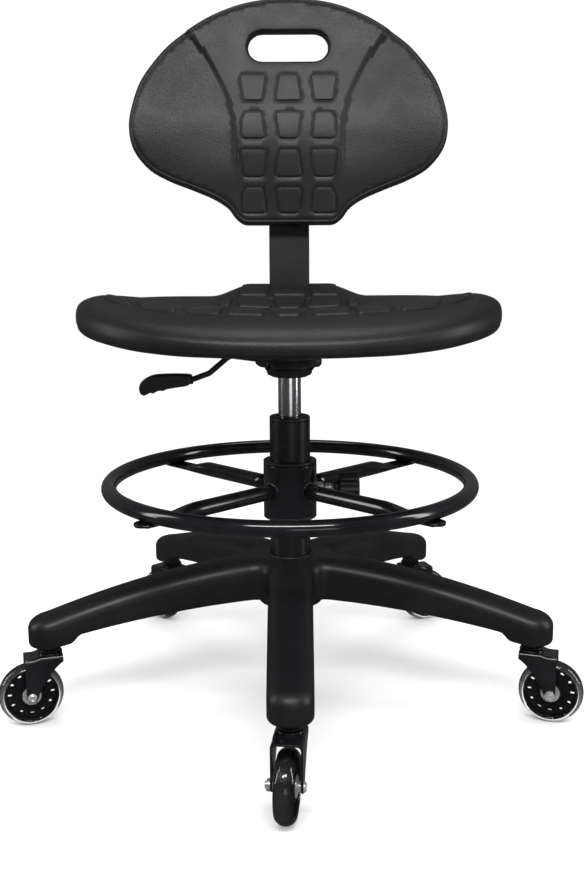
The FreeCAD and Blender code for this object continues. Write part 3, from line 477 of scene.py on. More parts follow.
def around(shell, count, first=0.0):
    """Copies of a shell, turned evenly about Z."""
    return [placed(shell, about_z(first + k * 360.0 / count)) for k in range(count)]


# These stand a plan of (x, z) up: its height then runs along -Y with STAND and along +Y with UPRIGHT.
STAND = Matrix(((1, 0, 0, 0), (0, 0, -1, 0), (0, 1, 0, 0), (0, 0, 0, 1)))
UPRIGHT = Matrix(((1, 0, 0, 0), (0, 0, 1, 0), (0, 1, 0, 0), (0, 0, 0, 1)))
LEANED = Matrix.Translation(LEAN_FOOT) @ Matrix.Rotation(-LEAN, 4, "X") @ Matrix.Translation(-LEAN_FOOT)


def smooth_loop(points, spacing):
    """A closed Catmull-Rom curve through points, resampled at even spacing."""
    p = np.asarray(points, float)
    dense = []
    for k in range(len(p)):
        a, b, c, d = p[k - 1], p[k], p[(k + 1) % len(p)], p[(k + 2) % len(p)]
        for t in np.linspace(0, 1, 40, endpoint=False):
            dense.append(0.5 * (2 * b + (c - a) * t + (2 * a - 5 * b + 4 * c - d) * t ** 2
                                + (3 * b - a - 3 * c + d) * t ** 3))
    return even(np.array(dense), spacing)


def even(loop, spacing):
    """A closed line resampled at even spacing."""
    closed = np.vstack([loop, loop[:1]])
    length = np.concatenate([[0], np.cumsum(np.linalg.norm(np.diff(closed, axis=0), axis=1))])
    count = max(8, int(round(length[-1] / spacing)))
    at = np.linspace(0, length[-1], count, endpoint=False)
    return np.stack([np.interp(at, length, closed[:, k]) for k in range(closed.shape[1])], 1)


def area(loop):
    x, y = loop.T
    return 0.5 * np.sum(x * np.roll(y, -1) - y * np.roll(x, -1))


def inward(loop, distance):
    """The loop moved inwards; it runs anticlockwise. Sharp corners keep their mitre."""
    before, after = unit(loop - np.roll(loop, 1, 0)), unit(np.roll(loop, -1, 0) - loop)
    n0, n1 = (np.stack([-t[:, 1], t[:, 0]], 1) for t in (before, after))
    mitre = (n0 + n1) / np.maximum(1 + np.sum(n0 * n1, 1), 0.3)[:, None]
    return loop + mitre * np.reshape(distance, (-1, 1))


def within(points, loop):
    """Which points lie inside a loop."""
    x, y = points[:, :1], points[:, 1:]
    x0, y0 = loop.T
    x1, y1 = np.roll(loop, -1, 0).T
    crosses = (y0 > y) != (y1 > y)
    with np.errstate(divide="ignore", invalid="ignore"):
        at = x0 + (y - y0) * (x1 - x0) / (y1 - y0)
    return np.sum(crosses & (x < at), axis=1) % 2 == 1


# ---- moulded faces ----
PAD_RISE, PAD_EDGE = 2.3, 1.0
PAD_STEPS = ((1.5, 0.0), (0.8, -0.3), (0.15, 0.55), (-0.3, 0.93), (-1.3, 1.0))    # (share of edge, of rise)
LIP_W = 2.2       # width of the groove inside an edge
PARTING = 0.6     # how deep the mould's parting line is pressed in


def pad_ring(corners, grow):
    """A pad's plan moved outwards by grow, with rounded corners."""
    c = np.asarray(corners, float)
    if area(c) < 0:
        c = c[::-1]
    return even(soften(inward(c, -grow), 3.2 + grow, 4), 2.2)


def skin(loop, holes, pads, lines, height, spacing):
    """One face of a moulding, meshed between its loop and holes, with raised pads and crisp lines.
    Returns points, triangles, and where the points of the loop and holes went."""
    points, edges, lift, keep_clear = [], [], [], []

    def add(pts, value, closed=True):
        first = len(points)
        points.extend(map(tuple, pts))
        lift.extend([value] * len(pts))
        last = len(pts) if closed else len(pts) - 1
        edges.extend((first + k, first + (k + 1) % len(pts)) for k in range(last))
        keep_clear.append(np.asarray(pts))
        return list(range(first, first + len(pts)))

    rims = [add(h, 0.0) for h in (loop, *holes)]
    for line in lines:
        add(line, 0.0, closed=False)
    tops = []
    for corners in pads:
        for share, rise in PAD_STEPS:
            ring = pad_ring(corners, share * PAD_EDGE)
            add(ring, rise * PAD_RISE)
        tops.append(ring)
    low, high = loop.min(0), loop.max(0)
    grid = np.stack(np.meshgrid(np.arange(low[0], high[0], spacing), np.arange(low[1], high[1], spacing)), -1)
    grid[1::2, :, 0] += spacing / 2
    grid = grid.reshape(-1, 2)
    near = np.vstack(keep_clear)
    for chunk in np.array_split(near, 20):
        gap = np.linalg.norm(grid[:, None] - chunk[None], axis=2).min(1)
        grid = grid[gap > spacing * 0.45]
    grid = grid[within(grid, loop)]
    for hole in holes:
        grid = grid[~within(grid, hole)]
    on_pad = np.zeros(len(grid), bool)
    for top in tops:
        on_pad |= within(grid, top)
    points.extend(map(tuple, grid))
    lift.extend(np.where(on_pad, PAD_RISE, 0.0))
    verts, _, tris, origin, _, _ = delaunay_2d_cdt([Vector(p) for p in points], edges, [], 0, 1e-5)
    flat = np.array([tuple(v) for v in verts])
    tris = np.array([t for t in tris])
    middle = flat[tris].mean(1)
    keep = within(middle, loop)
    for hole in holes:
        keep &= ~within(middle, hole)
    raised = np.array([max((lift[i] for i in o), default=0.0) for o in origin])
    where = {i: k for k, o in enumerate(origin) for i in o}
    body = np.column_stack([flat, height(flat[:, 0], flat[:, 1]) + raised])
    return body, tris[keep], [[where[i] for i in rim] for rim in rims]


class Mesher:
    """Collects the points and faces of one shell."""

    def __init__(self):
        self.verts, self.faces, self.count = [], [], 0

    def put(self, points, faces=()):
        first = self.count
        self.verts.append(np.asarray(points, float))
        self.count += len(points)
        self.faces.extend(tuple(first + i for i in face) for face in faces)
        return list(range(first, self.count))

    def face(self, points, tris, rims):
        """Adds a skin; returns its rims as indices."""
        first = self.put(points, tris)[0]
        return [[first + i for i in rim] for rim in rims]

    def bridge(self, rows):
        for a, b in zip(rows[:-1], rows[1:]):
            n = len(a)
            self.faces.extend((a[i], a[(i + 1) % n], b[(i + 1) % n], b[i]) for i in range(n))

    def shell(self):
        return np.vstack(self.verts), self.faces


def moulding(outline, front, rear, inset, holes=(), hole_inset=5.0, pads=(), lines=(), spacing=7.0,
             fullness=2.2, rings=9, parting=True, lip=0.0):
    """A closed moulding: a front skin and a rear skin joined by a rolled edge, and so are its holes.
    front and rear give the heights over the plan; lip is the depth of a groove just inside the edge."""
    hole_loops = [np.asarray(h) for h in holes]
    face_loop = inward(outline, inset + (LIP_W if lip else 0.0))
    hole_faces = [inward(h, -hole_inset) for h in hole_loops]
    mesher = Mesher()
    front_rims = mesher.face(*skin(face_loop, hole_faces, pads, lines, front, spacing))
    rear_rims = mesher.face(*skin(face_loop, hole_faces, (), (), rear, spacing * 2))
    power = 2.0 / fullness
    for k, (edge, depth) in enumerate([(outline, inset)] + [(h, -hole_inset) for h in hole_loops]):
        rows = [front_rims[k]]
        middle = (front(*edge.T) + rear(*edge.T)) / 2
        if lip and k == 0:
            for share, depth_share in ((0.75, 0.75), (0.5, 1.0), (0.25, 0.6), (0.0, 0.0)):
                at = inward(edge, depth + LIP_W * share)
                rows.append(mesher.put(np.column_stack([at, front(*at.T) - lip * depth_share])))
        for step in range(1, 2 * rings):
            angle = math.pi / 2 * (1 - step / rings)
            share = 1 - abs(math.cos(angle)) ** power
            line = PARTING if parting and k == 0 and step == rings + 2 else 0.0
            at = inward(edge, depth * share + line)
            surface = front if angle >= 0 else rear
            blend = abs(math.sin(angle)) ** power
            rows.append(mesher.put(np.column_stack([at, surface(*at.T) * blend + middle * (1 - blend)])))
        rows.append(rear_rims[k])
        mesher.bridge(rows)
    return mesher.shell()


def flat_face(level):
    """A moulding's face that is flat: the same height all over the plan."""
    return lambda x, y: np.full_like(x, level)


def mirrored(corners):
    return [(-x, y) for x, y in corners][::-1]


# ---- seat ----
def seat_outline():
    half = [(0, SEAT_FRONT), (50, -223), (95, -217), (138, -204), (178, -182), (210, -149), (232, -110),
            (245, -65), (SEAT_HALF_W, -20), (246, 26), (236, 70), (218, 106), (192, 136), (158, 157),
            (118, 169), (62, 179), (0, SEAT_REAR)]
    points = half + [(-x, y) for x, y in reversed(half[1:-1])]
    return smooth_loop(points, 5.0)


def seat_top(x, y):
    """Sitting surface: rolls down at the front, rises to the sides and to a raised middle at the rear."""
    side = ease((np.abs(x) - 90) / 140) * ease((y + 150) / 100) * (1 - 0.8 * ease((y - 5) / 110))
    fall = np.maximum(0, (-112 - y) / 48) ** 2
    dish = np.exp(-(x / 125) ** 2 - ((y - 5) / 75) ** 2)
    raised = ease((y - 60) / 90) * (1 - ease((np.abs(x) - 52) / 52))
    return 492.5 - 3.6 * fall + 10.5 * side - 12.5 * dish + 14.5 * raised


def seat_under(x, y):
    """Underside: flat over the plate, sweeping up to the rim at the sides and rear."""
    side = 11.0 * ease((np.abs(x) - 100) / 150) + 3.0 * ease((np.abs(x) - 30) / 120)
    return 446.0 + side + 20.0 * ease((y - 100) / 90) + 3.0 * ease((-y - 170) / 50)


def arc_row(x):
    """Front edge of the outermost row of pads, parallel to the seat's front."""
    return 20 - 180 * math.sqrt(1 - (x / 235) ** 2)


def seat_pads():
    """Raised pads: a curved row along the front, and five rows of hourglass pads behind it."""
    pads = []
    depth = 47.0
    for near, far in (((-11.5, 11.5), (-18.5, 18.5)), ((27, 66), (28, 67)), ((74, 110), (75, 121)),
                      ((122, 163), (131, 177)), ((176, 213), (188, 219))):
        corners = [(x, arc_row(x)) for x in near] + [(x, arc_row(x) + depth) for x in reversed(far)]
        pads.append(corners)
        if near[0] > 0:
            pads.append(mirrored(corners))
    rows = ((-104, -64), (-56, -14), (-6, 34), (42, 88), (98, 146))
    for k, (y0, y1) in enumerate(rows):
        narrow, wide = (13.0, 20.5) if k % 2 else (21.5, 15.0)
        pads.append([(-narrow, y0), (narrow, y0), (wide, y1), (-wide, y1)])
        if k % 2:
            side = [(narrow + 9, y0), (63, y0), (66, y1), (wide + 8, y1)]
        else:
            side = [(narrow + 8, y0), (65, y0), (62, y1), (wide + 9, y1)]
        pads += [side, mirrored(side)]
        if k < 4:
            outer = 112 if k < 3 else 88
            slant = [(74, y0 + 2), (outer, y0 + 6), (outer - 6, y1 - 4), (74, y1 - 2)]
            pads += [slant, mirrored(slant)]
    return pads


def build_seat():
    shell = moulding(seat_outline(), seat_top, seat_under, 27.0, pads=seat_pads(), fullness=2.7, rings=12)
    seat = piece("seat_cushion", "seat", "seat_pad", [shell], flat_kept=False)


# ---- backrest ----
CREASE_X, CREASE_SWEEP = 71.0, 63.0
CREASE_W, WING_DISH = 2.4, 5.0


def back_outline():
    half = [(0, BACK_HIGH), (36, 881.5), (70, 874), (104, 860), (133, 842), (160, 820), (181, 795),
            (197, 770), (207, 741), (212, 712), (207, 682), (188, 657), (162, 642), (130, 630), (103, 619),
            (84, 607), (73, 593), (62, BACK_LOW + 1), (48, BACK_LOW), (20, BACK_LOW)]
    points = [(-x, z) for x, z in half] + list(reversed(half[1:]))
    return smooth_loop(points, 4.5)


def crease_x(z):
    return CREASE_X + CREASE_SWEEP * np.maximum(0.0, (np.asarray(z) - 690) / 148) ** 2.2


def back_front(x, z):
    """Minus y of the front face: a lumbar swell, wings that wrap forward and are dished behind a crease."""
    swell = 18.0 * np.exp(-((z - 702) / 85) ** 2)
    wrap = 22.0 * (np.abs(x) / 210) ** 2.2
    out = np.abs(x) - crease_x(z)
    reach = np.maximum(20.0, 205 - crease_x(z))
    held = ease((z - 640) / 60) * ease((862 - z) / 30)
    dish = WING_DISH * ease(out / CREASE_W) * (1 - ease(out / reach)) * held
    return -(BAR_UP_Y - 30.0) + swell + wrap - dish


def back_rear(x, z):
    """Minus y of the rear face: flat over the bracket, following the wings outside it."""
    return -BACK_FACE_Y + 30.0 * ease((np.abs(x) - 70) / 140)


def back_pads():
    wide, narrow, pitch = 17.0, 11.8, 47.4
    rows = ((781, 747), (731, 697), (681.5, 647.5), (632, 600))
    pads = []
    for k, (top, bottom) in enumerate(rows):
        flip = k % 2
        a, b = (wide, narrow) if flip else (narrow, wide)
        pads.append([(-b, bottom), (b, bottom), (a, top), (-a, top)])
        a, b = (narrow, wide - 2) if flip else (wide, narrow)
        if flip:
            side = [(pitch - b, bottom), (pitch + b, bottom), (pitch + b - 0.5, top - 9),
                    (pitch + a - 2, top), (pitch - a, top)]
        else:
            side = [(pitch - b, bottom), (pitch + b, bottom), (pitch + a, top), (pitch - a, top)]
        pads += [side, mirrored(side)]
    return pads


def handle_loop():
    return even(soften(box_loop(HANDLE_W, HANDLE_H, HANDLE_H * 0.499, (0, HANDLE_Z)), 0), 4.0)


def build_back():
    creases = []
    for sign in (-1, 1):
        for shift in (0.0, CREASE_W / 2, CREASE_W):
            zs = np.linspace(830, 668, 60)
            creases.append(np.column_stack([sign * (crease_x(zs) + shift), zs]))
    shell = moulding(back_outline(), back_front, back_rear, 5.0, [handle_loop()], 4.0, back_pads(), creases,
                     spacing=6.0, fullness=2.3, rings=8, lip=0.7)
    back = piece("back_cushion", "backrest", "backrest_pad", [placed(shell, LEANED @ STAND)],
                 flat_kept=False)


# ---- base ----
LEG_ROLL, LEG_BELLY, LEG_TIP_R = 19.0, 5.0, 23.9


def leg_part(r):
    return (r - HUB_R) / (STEM_CIRCLE - HUB_R)


def star_outline():
    """Plan of the five legs, with rounded crotches and round tips."""
    corners, radii = [], []
    root, tip = LEG_ROOT_W / 2, LEG_TIP_W / 2
    end = STEM_CIRCLE + tip
    crotch = root / math.sin(math.pi / LEGS)
    for k in range(LEGS):
        a = math.radians(FIRST_LEG + k * 360.0 / LEGS)
        out, side = np.array([math.cos(a), math.sin(a)]), np.array([-math.sin(a), math.cos(a)])
        mid = a - math.pi / LEGS
        corners.append(np.array([math.cos(mid), math.sin(mid)]) * crotch)
        corners += [out * end - side * tip, out * end + side * tip]
        radii += [16.0, LEG_TIP_R, LEG_TIP_R]
    return even(soften(corners, radii, 10), 4.0)


def leg_line(r):
    """Height of a leg's top along its middle."""
    return LEG_ROOT_Z - (LEG_ROOT_Z - LEG_TIP_Z) * np.clip(leg_part(r), 0, 1.1) ** LEG_FALL


def leg_top(x, y):
    """Height of the base: level at the hub, falling along each leg, a little rounded across it."""
    r = np.hypot(x, y)
    step = 2 * math.pi / LEGS
    off = (np.arctan2(y, x) - math.radians(FIRST_LEG) + step / 2) % step - step / 2
    belly = LEG_BELLY * (r * np.sin(off) / (LEG_TIP_W / 2)) ** 2 * ease((r - 40) / 60)
    nose = 3.0 * ease((r - STEM_CIRCLE) / 20)
    return leg_line(r) - np.minimum(belly, 8) - nose


def leg_low(x, y):
    """Height of the base's lower edge."""
    r = np.hypot(x, y)
    part = np.clip(leg_part(r), 0, 1)
    return LEG_ROOT_LOW - (LEG_ROOT_LOW - LEG_TIP_LOW) * part ** 2 - LEG_BOSS * ease((r - 268) / 12)


def base_shell():
    """The star: a rolled top over skirts, open underneath."""
    outline = star_outline()
    mesher = Mesher()
    bore = circle(TUBE_R + 2.0, 64)
    top_rim, top_bore = mesher.face(*skin(inward(outline, LEG_ROLL), [bore], (), (), leg_top, 6.0))

    def ceiling(x, y):
        return leg_top(x, y) - LEG_WALL

    in_roll = LEG_ROLL + 1.0
    under_rim, under_bore = mesher.face(*skin(inward(outline, in_roll), [bore], (), (), ceiling, 14.0))
    mesher.bridge([top_bore, under_bore])
    rows = [top_rim]

    def put(inset, level):
        rows.append(mesher.put(np.column_stack([inward(outline, inset), level])))

    ridge, low = leg_top(*inward(outline, LEG_ROLL).T), leg_low(*outline.T)
    drop = LEG_ROLL * 0.8
    for a in np.radians(np.linspace(80, 0, 9)):
        put(LEG_ROLL * (1 - math.cos(a)), ridge - drop * (1 - math.sin(a)))
    for share in (0.33, 0.66):
        put(0.0, (ridge - drop) * (1 - share) + (low + 6) * share)
    for a in np.radians(np.linspace(0, 90, 5)):
        put(5.0 * (1 - math.cos(a)), low + 5.0 * (1 - math.sin(a)))
    put(LEG_WALL + 3.0, low + 1.0)
    put(LEG_WALL + 3.0, low + 8.0)
    for a in np.radians(np.linspace(0, 60, 4)):
        back_in = (in_roll - LEG_WALL - 3.0) * (1 - math.cos(a))
        put(LEG_WALL + 3.0 + back_in, ridge - drop * (1 - math.sin(a)) - LEG_WALL)
    rows.append(under_rim)
    mesher.bridge(rows)
    return mesher.shell()


def leg_ribs():
    """What stiffens one leg's hollow: a spine, cross ribs and the socket of the caster's stem."""
    rows = []
    for r in np.linspace(60, STEM_CIRCLE - 10, 12):
        low, high = float(leg_low(r, 0)) + 3, float(leg_line(r)) - 2.5
        rows.append([(r, -1.2, low), (r, 1.2, low), (r, 1.2, high), (r, -1.2, high)])
    ribs = [loft(rows)]
    for r in np.linspace(90, 265, 4):
        plan = box_loop(2.4, 2 * (LEG_TIP_W / 2 - LEG_WALL), 0.0, (r, 0))
        ribs.append(slab(plan, float(leg_low(r, 0)) + 3, leg_line(r) - 9, 0.4))
    socket = [(5.6, LEG_FOOT_Z), (11, LEG_FOOT_Z), (11.5, 125), (5.6, 125)]
    ribs.append(placed(lathe(socket, 40, 0.8), shift(STEM_CIRCLE, 0, 0)))
    return ribs


def build_base():
    socket = [(TUBE_R - 1.0, 120), (TUBE_R + 4, 118), (TUBE_R + 4, 150), (TUBE_R - 1.0, 150)]
    neck_z = LEG_ROOT_Z + 1.2
    neck = [(TUBE_R + 0.1, 172), (TUBE_R + 7, 172), (TUBE_R + 6.2, neck_z), (TUBE_R + 0.1, neck_z)]
    hub = rect(TUBE_R - 1.0, HUB_R - 6, 119, 128)
    shells = [base_shell(), lathe(socket, 64, 1.0), lathe(neck, 96, 1.6), lathe(hub, 96, 2.0)]
    for rib in leg_ribs():
        shells += around(rib, LEGS, FIRST_LEG)
    piece("base_star", "base", "star_base", shells, flat_kept=False)


# ---- column ----
def build_column():
    tube = [(TUBE_IN, TUBE_LOW), (TUBE_R - 1.2, TUBE_LOW - 4), (TUBE_R, 178), (TUBE_R, TUBE_HIGH - 0.2),
            (TUBE_IN, TUBE_HIGH - 0.2)]
    piece("column_tube", "base", "lift_outer_tube", [lathe(tube, 128, 0.5)])
    seat_z = TUBE_HIGH + 0.2
    collar = [(CYL_R + 0.1, BUSH_LOW), (TUBE_IN, BUSH_LOW), (TUBE_IN, seat_z), (TUBE_R, seat_z),
              (TUBE_R, BUSH_TOP), (CYL_R + 2.5, BUSH_TOP), (CYL_R + 0.1, BUSH_TOP - 1.5)]
    collar = lathe(soften(collar, [0.3, 0.3, 0.3, 0.5, 2.0, 0.8, 0.4], 4), 128)
    piece("column_collar", "base", "lift_guide_bush", [collar])
    rod = [(0, CYL_LOW), (CYL_R, CYL_LOW), (CYL_R, CYL_TAPER_LOW), (CYL_TIP_R, CYL_HIGH), (0, CYL_HIGH)]
    piece("gas_cylinder", "seat", "lift_cylinder", [lathe(rod, 128, 0.8)])


# ---- mechanism under the seat ----
def build_cup():
    """The pressed cup that takes the top of the lift; its left side is open for the lever."""
    bowl = [(CYL_R, SOCKET_LOW), (21, SOCKET_LOW), (27, SOCKET_LOW + 3), (28.5, SOCKET_LOW + 9),
            (28.5, 414.2), (CYL_R, 414.2)]
    bead = rect(27.2, 29.8, 411.8, 414.2)
    flange = [(20, 414), (28.5, 414), (28.5, 417), (30, 420.5), (35, 424), (41, 426.5), (41, 431), (35, 432),
              (35, PLATE_Z), (20, PLATE_Z)]
    shells = [lathe(bowl, 96, 1.4), lathe(bead, 96, 1.1), lathe(flange, 96, 1.2, span=(-144, 158))]
    piece("seat_cup", "seat", "seat_socket", shells)


def build_plate():
    shells = [slab(box_loop(PLATE_X, PLATE_Y, 16), PLATE_Z + 1.5, SEAT_LOW, 0.8),
              slab(box_loop(86, 190, 8), PLATE_Z, PLATE_Z + 2.2, 0.8)]
    for side in (-1, 1):
        lip = box_loop(3, PLATE_Y - 50, 1, (side * (PLATE_X / 2 - 1.5), 0))
        shells.append(slab(lip, PLATE_Z - 2, PLATE_Z + 2, 0.8))
        rib = [(side * 64, y, PLATE_Z + 1.0) for y in np.linspace(-78, 78, 12)]
        shells.append(sweep(rib, circle(3.5, 16) * (1.0, 0.7)))
        for end in (-1, 1):
            pad = box_loop(26, 26, 9, (side * SEAT_BOLT_X, end * SEAT_BOLT_Y))
            shells.append(slab(pad, SEAT_LOW - 0.5, 446.4, 0.4))
    piece("seat_base_plate", "seat", "seat_plate", shells)
    bolts = []
    for sx in (-1, 1):
        for sy in (-1, 1):
            at = shift(sx * SEAT_BOLT_X, sy * SEAT_BOLT_Y, 0)
            head = slab(hexagon(10), PLATE_Z - 2.5, PLATE_Z + 0.4, 0.6)
            washer = lathe(rect(3.2, 9, PLATE_Z + 0.4, PLATE_Z + 1.5), 40, 0.4)
            bolts += [placed(head, at), placed(washer, at)]
    piece("seat_bolt_heads", "seat", "seat_bolts", bolts)


def build_channel():
    low = BAR_Z - GAP - 3
    stand = shift(0, 44, 0) @ UPRIGHT
    outer = box_loop(BAR_W + 8, PLATE_Z - low, 2.5, (0, (PLATE_Z + low) / 2))
    inner = box_loop(BAR_W + 2 * GAP, BAR_T + 2 * GAP, 0.6, (0, BAR_Z + BAR_T / 2))
    nut = slab(hexagon(17), low - 5, low + 0.5, 0.8)
    shells = [placed(hollow(outer, inner, 0, 106), stand), placed(nut, shift(0, BAR_KNOB_Y, 0))]
    piece("bar_slide_channel", "seat", "bar_channel", shells, bevel=0.5)


def build_depth_knob():
    """The big lobed knob under the seat."""
    plan = lobed(42.0, 6.0, 8)
    grip = stacked(plan, ((404, 0.9), (404.6, 0.94), (406.5, 0.985), (408.5, 1.0), (413, 1.0),
                          (414.8, 0.985), (416, 0.95), (416.3, 0.9)))
    hub = lathe([(0, 415.5), (16, 415.5), (11.5, 422), (0, 422)], 64, 1.2)
    dish = lathe([(0, 403.2), (24, 403.2), (27, 404.6), (0, 404.6)], 64, 0.6)
    stud = lathe(rect(0, 4, 421, BAR_Z - GAP), 32)
    shells = set_at(shift(0, BAR_KNOB_Y, 0), (grip, hub, dish, stud))
    piece("depth_knob", "bar_lock", "bar_knob", shells)


def build_lever():
    path = soften([(-34, -8, 425), (-72, -8, 430), (-97, -10, 409), (-118, -11, 401.5), (-168, -11, 395.5)],
                  11.0, 8, closed=False)
    rod = sweep(path, circle(3.5, 20), up=Y)
    eye = placed(lathe(rect(2.6, 7, -5, 5), 40, 0.7), facing(Y, (-34, -8, 424)))
    tongue = slab(box_loop(29, 11, 3, (-11.5, -2.5)), 432.3, 436.3, 0.8)
    link = sweep([(-34, -8, 425), (-27, -8, 430), (-22, -6, 434.3)], circle(3.2, 16), up=Y)
    piece("lever_arm", "lever", "lever_rod", [rod, eye, tongue, link])
    ears = [placed(slab(box_loop(14, 20, 4, (-34, 429)), side * 7.5 - 1.25, side * 7.5 + 1.25, 0.4),
                   shift(0, -8, 0) @ STAND) for side in (-1, 1)]
    pin = placed(lathe([(0, -9.4), (3.6, -9.4), (3.6, -8.6), (2.5, -8.4), (2.5, 9.4), (0, 9.4)], 32, 0.2),
                 facing(Y, (-34, -8, 424)))
    piece("lever_ears", "seat", "lever_bracket", ears + [pin])


def build_paddle():
    """The lever's grip: a paddle with finger ridges under its outer end and a pressed line along it."""
    top = [(-121, 407.8), (-135, 408.6), (-150, 408.5), (-163, 407.6), (-172, 404.6), (-179.5, 399),
           (-182, 392), (-180.5, 385.5), (-176.5, 382.8)]
    under = [(-172, 384.2), (-168.5, 386), (-164.5, 385.4), (-160.5, 387.6), (-157, 388.6), (-152.5, 388.4),
             (-148, 390.4), (-136, 392.4), (-124, 394.3), (-119.8, 397.5), (-119.2, 404.5)]
    outline = smooth_loop(top + under, 1.2)
    if area(outline) < 0:
        outline = outline[::-1]
    half = ((9, 2.6), (8.8, 1.7), (8, 0.7), (6.6, 0.15), (4, 0), (0.6, 0))
    section = half + ((0, 0.45),) + tuple((-y, inset) for y, inset in reversed(half))
    rows = [flat_loop(inward(outline, inset), y) for y, inset in section]
    body = placed(loft(rows), shift(0, -11, 0) @ STAND)
    boss = lathe([(3.6, 0), (5.6, 0), (6.2, 4), (3.6, 4)], 40, 0.5)
    boss = placed(boss, facing((1, 0, 0.12), (-121.5, -11, 401.5)))
    piece("lever_paddle", "lever", "lever_grip", [body, boss])


# ---- back bar and bracket ----
def build_bar():
    """The flat bar bent up behind the seat."""
    middle, up_y, foot_z = BAR_Z + BAR_T / 2, BAR_UP_Y + BAR_T / 2, LEAN_FOOT.z
    rise = BAR_TOP - foot_z
    tip = LEAN_FOOT + Vector((0, BAR_T / 2 + math.sin(LEAN) * rise, math.cos(LEAN) * rise))
    path = soften([(0, BAR_FRONT, middle), (0, up_y, middle), (0, up_y, foot_z), tuple(tip)],
                  [0, BAR_BEND + BAR_T / 2, 60, 0], 16, closed=False)
    path = np.vstack([np.linspace(path[0], path[1], 6)[:-1], path[1:]])
    section = box_loop(BAR_W, BAR_T, 1.6)
    verts, faces = sweep(path, section[:, ::-1], up=X)
    piece("j_bar", "bar", "back_bar", [(verts, faces)], bevel=0.6)
    cap = slab(box_loop(BAR_W, BAR_T, 2.2, (0, up_y)), BAR_TOP, BAR_TOP + 4, 1.6)
    piece("bar_cap", "bar", "bar_end_cap", [placed(cap, LEANED)])


def build_back_bracket():
    """The sleeve on the back's rear face that slides on the bar."""
    face = BACK_FACE_Y
    flange = placed(slab(box_loop(100, 92, 9, (0, BACK_LOW + 54)), face, face + 4.2, 0.8), UPRIGHT)
    outer = box_loop(BAR_W + 8, BAR_T + 8.5, 3.0, (0, face + 4.2 + (BAR_T + 4.3) / 2))
    inner = box_loop(BAR_W + 2 * GAP, BAR_T + 2 * GAP, 0.6, (0, BAR_UP_Y + BAR_T / 2))
    sleeve = hollow(outer, inner, BACK_LOW + 18, BACK_LOW + 90)
    boss = lathe([(4.1, 0), (10, 0), (9, 6), (4.1, 6)], 48, 0.8)
    boss = placed(boss, facing(Y, (0, BAR_UP_Y + BAR_T + 4, BACK_KNOB_Z)))
    ribs = [slab(box_loop(5, 60, 2, (s * 40, BACK_LOW + 54)), face + 3.4, face + 6.6, 1.2) for s in (-1, 1)]
    shells = set_at(LEANED, [flange, sleeve, boss] + set_at(UPRIGHT, ribs))
    piece("back_sleeve", "backrest", "back_bracket", shells, bevel=0.4)
    screw = lathe([(0, 0.8), (2.2, 0.8), (2.4, 2.4), (3.6, 2.6), (5.4, 1.2), (5.5, 0), (0, 0)], 40, 0.2)
    screws = []
    for x in (-42, 42):
        for z in (604, 672):
            screws.append(placed(screw, LEANED @ facing(Y, (x, face + 4.2, z))))
    piece("back_bolts", "backrest", "back_screws", screws)
    grip = stacked(lobed(26.0, 3.6, 6, 20), ((0, 0.86), (0.8, 0.93), (3, 1.0), (13, 1.0), (16, 0.96),
                                             (17.6, 0.88), (18.2, 0.72)))
    stud = lathe(rect(0, 4, -10, 1), 32)
    hub = lathe([(0, -3), (10, -3), (13, 0.5), (0, 0.5)], 48, 0.6)
    at = LEANED @ facing(Y, (0, BAR_UP_Y + BAR_T + 10, BACK_KNOB_Z))
    piece("height_knob", "back_lock", "back_knob", set_at(at, (grip, stud, hub)))


# ---- foot ring ----
def spoke_section(half_w, half_t, square, parts=32):
    """A section from round to a flat tab; square is the superellipse's power."""
    a = np.linspace(0, 2 * math.pi, parts, endpoint=False)
    c, s = np.cos(a), np.sin(a)
    across = half_w * np.sign(c) * np.abs(c) ** (2 / square)
    return np.column_stack([across, half_t * np.sign(s) * np.abs(s) ** (2 / square)])


def spoke_shells():
    """One spoke along +X: round, then squeezed to a tab with a round end, and its weld bead."""
    tab_z = RING_Z - RING_TUBE_R - TAB_T / 2
    rows = []
    tip_x = SPOKE_END - TAB_HALF_W
    rounding = np.radians([15, 30, 45, 58, 70, 80, 86])
    stations = np.concatenate([
        np.linspace(RING_HUB_R - 2, SQUEEZE_FROM, 6), np.linspace(SQUEEZE_FROM + 5, SQUEEZE_TO, 12),
        np.linspace(SQUEEZE_TO + 6, tip_x, 4), tip_x + TAB_HALF_W * np.sin(rounding)])
    for x in stations:
        squeeze = float(ease((x - SQUEEZE_FROM) / (SQUEEZE_TO - SQUEEZE_FROM)))
        half_w = SPOKE_R + (TAB_HALF_W - SPOKE_R) * squeeze
        half_t = SPOKE_R + (TAB_T / 2 - SPOKE_R) * squeeze
        reach = max(0.0, (x - tip_x) / TAB_HALF_W)
        half_w *= math.sqrt(1 - reach ** 2)
        section = spoke_section(half_w, half_t, 2 + 3 * squeeze)
        level = SPOKE_Z + (tab_z - SPOKE_Z) * squeeze
        rows.append(np.column_stack([np.full(len(section), x), section[:, 0], section[:, 1] + level]))
    turns = np.linspace(0, 2 * math.pi, 72, endpoint=False)
    y, z = SPOKE_R * np.cos(turns), SPOKE_R * np.sin(turns)
    bead = np.column_stack([np.sqrt(RING_HUB_R ** 2 - y ** 2) + 0.4, y * 1.08, SPOKE_Z + z * 1.08])
    ripple = 1 + 0.14 * np.sin(13 * turns) + 0.06 * np.sin(5 * turns + 1)
    return [loft(rows), sweep(bead, circle(1.9, 12), up=X, scales=ripple, closed=True)]


